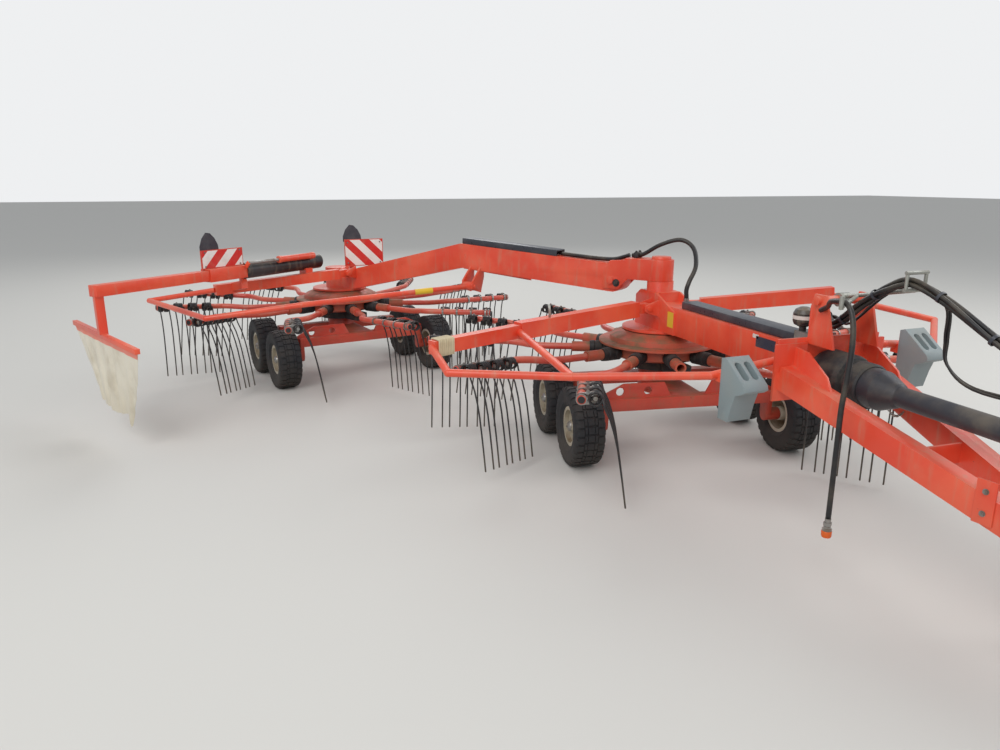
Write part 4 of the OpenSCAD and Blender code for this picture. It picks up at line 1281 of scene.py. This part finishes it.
@dataclass
class Plumbing:
    """The hoses, each by the points of its middle in millimetres.

    Attributes:
        bundle: the bundle that runs over the stand
        loose: the thin pair beside it
        drop: the hose that hangs free over the hook
        tower: the hose that loops over the tower
        foot: its lower end, in the beam's fitting
        ridge: the hose that runs along the boom
    """

    bundle: tuple[Point, ...] = (
        (24, -1384, 928.8), (22, -1395.4, 988.8), (4, -1468, 1010), (-34, -1570, 990),
        (-42, -1720, 1108), (-38, -1830, 1180), (-15, -1925, 1216), (10, -2070, 1160),
        (40, -2300, 1030), (70, -2600, 900), (85, -2820, 857.3),
    )
    loose: tuple[Point, ...] = (
        (58, -1384, 928.8), (57.6, -1392.9, 980.8), (54, -1470, 1000), (46, -1570, 992),
        (46, -1750, 1150), (24, -1925, 1205.1), (90, -2000, 1130), (122, -1990, 1000),
        (122, -2010, 900), (112, -2150, 838), (108, -2450, 850), (110, -2700, 860),
        (112, -2820, 846.3),
    )
    drop: tuple[Point, ...] = (
        (-137, -1586, 1060), (-150, -1640, 1085), (-196, -1700, 1112), (-246, -1770, 1132),
        (-262, -1844, 1141.6), (-266, -1888, 1122), (-270, -1918, 1060), (-278, -1934, 970),
        (-292, -1942, 860), (-304, -1944, 740), (-304, -1944, 600), (-304, -1944, 440),
        (-304, -1944, 280),
    )
    tower: tuple[Point, ...] = (
        (4, 204, 1132.3), (5, 130, 1142), (16, 20, 1206), (40, -100, 1240), (34, -190, 1196),
        (-30, -240, 1096), (-96, -232, 1006), (-110, -224, 958),
    )
    foot: tuple[Point, ...] = (
        (-112, -227, 915), (-112, -227, 868),
    )
    ridge: tuple[Point, ...] = (
        (4, 224, 1131.5), (4, 262, 1119), (2, 330, 1100), (0, 440, 1097), (0, 600, 1104),
        (0, 735, 1112),
    )

    def build(self) -> None:
        """Makes every hose."""
        self.hanging()
        self.over_stand()
        self.over_tower()

    def placed(self, place: Place, points: Sequence[Point], steps: int = 6) -> list[Vector]:
        """A smooth line through a place's points, in the model's metres."""
        return [place.matrix() @ (p * MM) for p in smooth_line(points, steps)]

    def hanging(self) -> None:
        """The hose that hangs over the hook, and its capped coupling."""
        line = self.placed(Place.FRONT, self.drop, 5)
        length = sum((b - a).length for a, b in zip(line, line[1:]))
        shape = Shape()
        shape.tube(line, 0.0108, 12)
        hose = shape.piece("drop_hose_rubber", "frame", Finish.HOSE, "hose", instead=["drop_hose"])
        end = line[-1]
        fit = Shape()
        down = Matrix.Translation(end - Vector((0, 0, 0.0783)))
        outline = [(0.003, 0.004), (0.013, 0.0), (0.018, 0.004), (0.019, 0.034), (0.0145, 0.037)]
        outline += [(0.0145, 0.044), (0.012, 0.046), (0.0118, 0.078), (0.003, 0.078)]
        fit.turned(outline, down, 24)
        fit.rod(0.0165, 0.014, down @ shift(z=0.048), 6)
        coupling = fit.piece(
            "drop_coupling_steel", "frame", Finish.BRIGHT, "bright_steel", instead=["drop_coupling"]
        )
        cap = Shape()
        outline = [(0.003, -0.002), (0.018, -0.002), (0.0205, 0.004), (0.0205, 0.024)]
        outline += [(0.0192, 0.026), (0.0192, 0.004), (0.003, 0.004)]
        cap.turned(outline, down, 24)
        lid = cap.piece("drop_coupling_cap", "frame", Finish.AMBER, "red_paint")
        tuple(line[0])
        [tuple(p) for p in line]

    def over_stand(self) -> None:
        """The strands of the bundle, tied together, and the loose pair beside it."""
        shape = Shape()
        line = self.placed(Place.FRONT, self.bundle)
        lay = [(11.6, 10.0), (11.8, 9.6), (12.4, 8.8)]
        for k, (away, radius) in enumerate(lay):
            shape.tube(self.twisted(line, away * MM, 120.0 * k, 1.1), radius * MM, 10)
        pair = self.placed(Place.FRONT, self.loose)
        for k in range(2):
            shape.tube(self.twisted(pair, 0.0052, 180.0 * k, 2.2), 0.0056, 8)
        shape.piece("hose_bundle", "frame", Finish.HOSE, "hose", instead=["hoses"])
        ties = Shape()
        for i in (12, 20, 27, 41, 47, 54):
            way = (line[i + 1] - line[i - 1]).normalized()
            ties.collar(0.0205, 0.0228, -0.006, 0.006, aim(line[i], way))
        ties.piece("hose_ties", "frame", Finish.COVER, "cover")

    def twisted(
        self, line: Sequence[Vector], away: float, start: float, turns: float
    ) -> list[Vector]:
        """A line that winds round another one.

        Args:
            line: the line in the middle
            away: how far from it, in metres
            start: where it starts, in degrees
            turns: how many times it goes round

        Returns:
            The winding line.
        """
        made = []
        side = Vector((1, 0, 0))
        for i, spot in enumerate(line):
            ahead = (line[min(i + 1, len(line) - 1)] - line[max(i - 1, 0)]).normalized()
            side = (side - ahead * side.dot(ahead)).normalized()
            angle = math.radians(start) + math.tau * turns * i / (len(line) - 1)
            out = side * math.cos(angle) + ahead.cross(side) * math.sin(angle)
            made.append(spot + out * away)
        return made

    def over_tower(self) -> None:
        """The hose that loops over the tower, with its clamp, and the one along the boom."""
        shape = Shape()
        shape.tube(self.placed(Place.BOOM, self.tower + self.foot), 0.0135, 12)
        bend = ("frame", "yoke", Place.BOOM.at(-111, -226, 885), Place.BOOM.at(-111, -226, 1080))
        nodes = ["tower_hose"]
        shape.piece("tower_hose_rubber", "yoke", Finish.HOSE, "hose", instead=nodes, across=bend)
        ridge = Shape()
        ridge.tube(self.placed(Place.BOOM, self.ridge), 0.0135, 12)
        bend = ("yoke", "boom", Place.BOOM.at(0, 240, 1100), Place.BOOM.at(0, 380, 1100))
        ridge.piece("boom_hose", "boom", Finish.HOSE, "hose", across=bend)
        fitting = Shape()
        fitting.rod(0.019, 0.013, Matrix.Translation(Place.BOOM.at(-112, -227, 865)), 6)
        fitting.rod(0.0165, 0.03, Matrix.Translation(Place.BOOM.at(-112, -227, 878)), 20)
        fitting.piece("tower_hose_foot", "frame", Finish.BRIGHT, "bright_steel")
        clamp = Shape()
        boom = Place.BOOM.matrix()
        clamp.block((0.07, 0.03, 0.034), boom @ shift(0.004, 0.165, 1.136), 0.004)
        for x in (0.028, -0.020):
            clamp.bolt(0.010, boom @ shift(x, 0.165, 1.153))
        clamp.piece("tower_hose_clamp", "yoke", Finish.CASTING, "casting")


@dataclass(frozen=True)
class Board:
    """Striped film on both faces of a warning board, its rubber flap and its screws.

    Attributes:
        name: the board's name
        place: the frame that it is drawn in
        spot: the middle of its lower edge, in millimetres
        turn: its turn in that frame, in degrees
        width: its width in millimetres
        height: its height in millimetres
        body: the body that it rides on
        slant: the way that its stripes lean
        flap: outline of the flap beside its upper edge, in metres
    """

    name: str
    place: Place
    spot: Vector
    turn: float
    width: float
    height: float
    body: str
    slant: float
    flap: Outline = (
        (-0.172, 0.0), (-0.015, 0.0), (-0.02, 0.05), (-0.045, 0.1), (-0.08, 0.135),
        (-0.115, 0.14), (-0.15, 0.1), (-0.172, 0.045),
    )

    def build(self) -> None:
        """Makes the films, the flap and the screws."""
        w, h = self.width, self.height
        stand = self.place.matrix() @ Matrix.Translation(self.spot * MM)
        frame = stand @ turn_about("Z", self.turn)
        total = self.place.value.turn + self.turn
        stripes = Striped(f"{self.name}_stripes", total, 0.17, self.slant).build()
        film = Shape()
        for side in (-1, 1):
            face = frame @ shift(0, side * 0.0067, h / 2 * MM)
            film.block(((w - 12) * MM, 0.0012, (h - 12) * MM), face, 0.0004, 1)
        film.piece(f"{self.name}_board_film", self.body, stripes, "board")
        flap = Shape()
        flap.plate(self.flap, 0.005, frame @ shift(0, 0.0125, h * MM - 0.02) @ turn_about("X", 90))
        flap.piece(f"{self.name}_board_flap", self.body, Finish.COVER, "cover")
        screws = Shape()
        for x in (-0.42, 0.42):
            for z in (0.12, 0.88):
                face = frame @ shift(x * w * MM, -0.0073, z * h * MM)
                screws.bolt(0.006, face @ turn_about("X", 90))
        screws.piece(f"{self.name}_board_screws", self.body, Finish.BRIGHT, "bright_steel")


BOARDS = (
    Board("outer", Place.REAR, heading(1262, 199, 990.3), 15.0, 354.0, 130.0, "rear_wing", -1.0),
    Board(
        "inner",
        Place.BOOM,
        Vector((0, 2850, 0)) + heading(110, -30, 886.3),
        -30.0,
        330.0,
        225.0,
        "boom",
        1.0,
    ),
)


@dataclass
class SlideRam:
    """The hydraulic ram beside the curtain's tube, and its lugs.

    Attributes:
        yaw: the tube's direction from the rotor's axis, in degrees
        start: where the barrel starts along it, in millimetres
        gland: where the barrel ends and the rod comes out
        end: where the rod ends
        level: height of the ram
        aside: how far beside the tube it lies
    """

    yaw: float = 199.0
    start: float = 400.0
    gland: float = 790.0
    end: float = 1095.0
    level: float = 1006.0
    aside: float = 80.0

    def spot(self, along: float, level: float, aside: float) -> Vector:
        """A point beside the curtain's tube."""
        spot = heading(along, self.yaw, level) + heading(aside, self.yaw + 90.0)
        return Place.REAR.at(*spot)

    def build(self) -> None:
        """Makes the barrel, the rod and the lugs."""
        marks = (self.start, self.gland, self.end)
        a, b, c = (self.spot(along, self.level, self.aside) for along in marks)
        barrel = Shape()
        long = (b - a).length
        outline = [(0.004, 0.0), (0.026, 0.0), (0.026, 0.03), (0.0235, 0.033)]
        outline += [(0.0235, long - 0.03), (0.027, long - 0.027), (0.027, long)]
        outline += [(0.013, long + 0.004), (0.004, long + 0.004)]
        barrel.turned(outline, aim(a, b - a), 28)
        for along, foot, side in ((self.start + 10, 982.3, 48.6), (self.end, 976.0, 50.8)):
            low = self.spot(along, foot, side)
            high = self.spot(along, self.level + 8, self.aside + 4)
            size = (0.012, 0.03, (high - low).length)
            barrel.block(size, aim((low + high) / 2, high - low), 0.002)
        barrel.piece("slide_ram_barrel", "rear_wing", Finish.RED, "red_paint")
        rod = Shape()
        rod.rod(0.0125, (c - b).length, aim(b, c - b), 20)
        rod.piece("slide_ram_rod", "rear_wing", Finish.BRIGHT, "bright_steel")


class Fittings:
    """Ropes, levers, chain, bands, plates and bolts."""

    def build(self) -> None:
        """Makes every small fitting."""
        self.rope().piece("guard_rope", "right_guard", Finish.ROPE, "cloth")
        self.chain().piece("guard_chain", "frame", Finish.GALVANISED, "galvanised")
        self.levers().piece("guard_lever", "right_guard", Finish.GALVANISED, "galvanised")
        self.bands()
        self.bolts().piece("frame_bolts", "frame", Finish.BRIGHT, "bright_steel")
        self.plates().piece("drawbar_plate", "frame", Finish.RED, "red_paint")
        self.pins()

    def rope(self) -> Shape:
        """A rope wound round the right guard's bar, beside its knee."""
        start, end = Place.FRONT.at(-1100, -428, 812), Place.FRONT.at(-1620, -630, 795)
        way = (end - start).normalized()
        side = way.cross(Vector((0, 0, 1))).normalized()
        up = side.cross(way)
        shape = Shape()
        steps, pitch = 16, 0.0098
        half_wide, half_high = 0.0355, 0.0405
        for first, turns in ((0.80, 6), (0.90, 4)):
            line = []
            for k in range(turns * steps + 1):
                angle = math.tau * k / steps
                across = max(-half_wide, min(half_wide, 0.052 * math.cos(angle)))
                rise = max(-half_high, min(half_high, 0.055 * math.sin(angle)))
                along = first * (end - start).length + k / steps * pitch
                line.append(start + way * along + side * across + up * rise)
            shape.tube(line, 0.0048, 8)
        return shape

    def chain(self) -> Shape:
        """A chain that keeps the shaft's guard from turning."""
        shape = Shape()
        links, sag = 15, 0.05
        start, end = Place.FRONT.at(40, -1800, 742), Place.FRONT.at(136, -1822, 645)

        def hung(t: float) -> Vector:
            """A point of the chain at a share of its length."""
            return start.lerp(end, t) - Vector((0, 0, sag * 4 * t * (1 - t)))

        for k in range(links):
            t = k / (links - 1)
            spot = hung(t)
            frame = aim(spot, hung(t + 0.02) - spot) @ turn_about("Z", 90 * (k % 2))
            angles = [math.tau * i / 12 for i in range(13)]
            ring = [Vector((0.0045 * math.cos(a), 0.0, 0.0085 * math.sin(a))) for a in angles]
            shape.tube([frame @ corner for corner in ring], 0.0017, 6)
        return shape

    def levers(self) -> Shape:
        """A pale lever and its clip on the right guard's bar."""
        shape = Shape()
        foot = Place.FRONT.at(-892, -366, 850)
        bends = [foot, foot + Vector((0, 0, 0.05)), foot + Vector((-0.006, 0, 0.085))]
        shape.tube(bends, 0.007, 12)
        shape.bolt(0.012, aim(foot, (0, 0, 1)))
        return shape

    def bands(self) -> None:
        """The pale band on the accumulator and the yellow one on the rear guard."""
        pale = Shape()
        frame = Matrix.Translation(Place.FRONT.at(-48, -1382, 927.6))
        pale.collar(0.0472, 0.0479, 0.056, 0.073, frame, 40)
        pale.piece("accumulator_band", "frame", Finish.PALE, "board")
        yellow = Shape()
        start, end = Place.REAR.at(-975, -1145, 780), Place.BOOM.at(-140, 1452, 844)
        here = aim(start.lerp(end, 0.66), end - start)
        yellow.collar(0.0192, 0.0212, 0.0, 0.13, here, 24)
        yellow.piece("rear_guard_band", "rear_wing", Finish.YELLOW, "board")

    def bolts(self) -> Shape:
        """Bolts on the beam's side and the drawbar's plates."""
        shape = Shape()
        outward = turn_about("Y", -90)
        for y in (-1330, -1290):
            for z in (728, 836):
                shape.bolt(0.011, Matrix.Translation(Place.FRONT.at(-75.2, y, z)) @ outward)
        for y in (-0.04, 0.04):
            shape.bolt(0.010, self.drawbar_side() @ shift(0, y, 0.008))
        return shape

    def drawbar_side(self) -> Matrix:
        """The frame of the plate on the drawbar's right leg, which stands out along z."""
        return aim(Place.FRONT.at(-124.4, -2447, 540), (-0.987, -0.16, 0.0))

    def plates(self) -> Shape:
        """The bolted plate on the drawbar's right leg."""
        shape = Shape()
        shape.block((0.07, 0.16, 0.008), self.drawbar_side() @ shift(z=0.004), 0.002)
        return shape

    def pins(self) -> None:
        """The black end of the boom's pivot pin."""
        shape = Shape()
        outward = Place.BOOM.matrix().to_3x3() @ Vector((-1, 0, 0))
        shape.bolt(0.022, aim(Place.BOOM.at(-69.3, 275, 956), outward))
        shape.piece("boom_pivot_end", "yoke", Finish.CASTING, "casting")


@dataclass(frozen=True)
class Label:
    """A bare film where the machine carries a label on a side that faces right.

    Attributes:
        name: the film's name
        finish: its finish
        spot: its middle, in millimetres
        length: its length along the machine, in millimetres
        height: its height in millimetres
    """

    name: str
    finish: Finish
    spot: Point
    length: float
    height: float

    def build(self) -> None:
        """Makes the film."""
        shape = Shape()
        frame = Place.FRONT.matrix() @ Matrix.Translation(Vector(self.spot) * MM)
        shape.block((0.0006, self.length * MM, self.height * MM), frame, 0.0002, 1)
        shape.piece(self.name, "frame", self.finish, "board")


LABELS = (
    Label("beam_yellow_film", Finish.YELLOW, (-87.4, -290, 790), 66, 92),
    Label("beam_dark_film", Finish.DARK, (-75.4, -1165, 822), 150, 54),
    Label("beam_pale_film", Finish.PALE, (-75.4, -1085, 846), 46, 20),
)


@dataclass(frozen=True)
class Softened:
    """A welded or moulded part with its edges rounded off.

    Attributes:
        node: the construction model's node
        radius: radius of the edges in metres
        wide: angle in degrees from which an edge is rounded
    """

    node: str
    radius: float = 0.003
    wide: float = 38.0

    def build(self, frame: dict) -> None:
        """Makes the rounded copy.
        """
        source = frame["nodes"][self.node]
        row = next(p for p in frame["record"]["subparts"] if p["node"] == self.node)
        shape = Shape()
        shape.mesh.from_mesh(source.data)
        mesh = shape.mesh
        bmesh.ops.remove_doubles(mesh, verts=mesh.verts, dist=0.00002)
        flat = math.radians(0.6)
        bmesh.ops.dissolve_limit(mesh, angle_limit=flat, verts=mesh.verts, edges=mesh.edges)
        limit = math.radians(self.wide)
        pairs = [e for e in mesh.edges if len(e.link_faces) == 2]
        sharp = [e for e in pairs if e.calc_face_angle(0.0) > limit]
        round_edges(mesh, sharp, self.radius, clamp=True)
        body = source["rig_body"]
        slot = row["material_slot"]
        shape.piece(f"{self.node}_softened", body, NODE_FINISHES[slot], slot, 40.0, [self.node])


SOFTENED = (
    Softened("main_beam"),
    Softened("drawbar", 0.0035),
    Softened("headstock"),
    Softened("yoke"),
    Softened("boom", 0.005),
    Softened("curtain_arm"),
    Softened("curtain_sleeve"),
    Softened("right_chock", 0.005),
    Softened("left_chock", 0.005),
    Softened("front_carriage"),
    Softened("rear_carriage"),
    Softened("beam_cover", 0.006),
    Softened("boom_cover", 0.006),
)


def dress_nodes(frame: dict) -> None:
    """Gives each node of the construction model the finish of its slot.
    """
    for part in frame["record"]["subparts"]:
        node = frame["nodes"][part["node"]]
        material = NODE_FINISHES[part["material_slot"]].material()
        for slot in node.material_slots:
            slot.material = material
        if not node.material_slots:
            node.data.materials.append(material)


def main() -> None:
    """Builds the whole scene and notes its size."""
    logging.basicConfig(level=logging.INFO, format="%(message)s")
    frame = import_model()
    Studio().build()
    Plumbing().build()
    dress_nodes(frame)
    for part in SOFTENED:
        part.build(frame)
    Rotor(Place.FRONT, "front", 189.5, 2).build()
    Rotor(Place.REAR, "rear", 24.0, -1).build()
    for place, unit in ((Place.FRONT_WHEELS, "front"), (Place.REAR_WHEELS, "rear")):
        for row, ahead in (("lead", 490.0), ("trail", -105.0)):
            for side, word in ((-1, "right"), (1, "left")):
                Wheel(place, f"{unit}_{row}_{word}", side, ahead).build()
    Curtain().build()
    for board in BOARDS:
        board.build()
    SlideRam().build()
    Fittings().build()
    for label in LABELS:
        label.build()


if __name__ == "__main__":
    main()
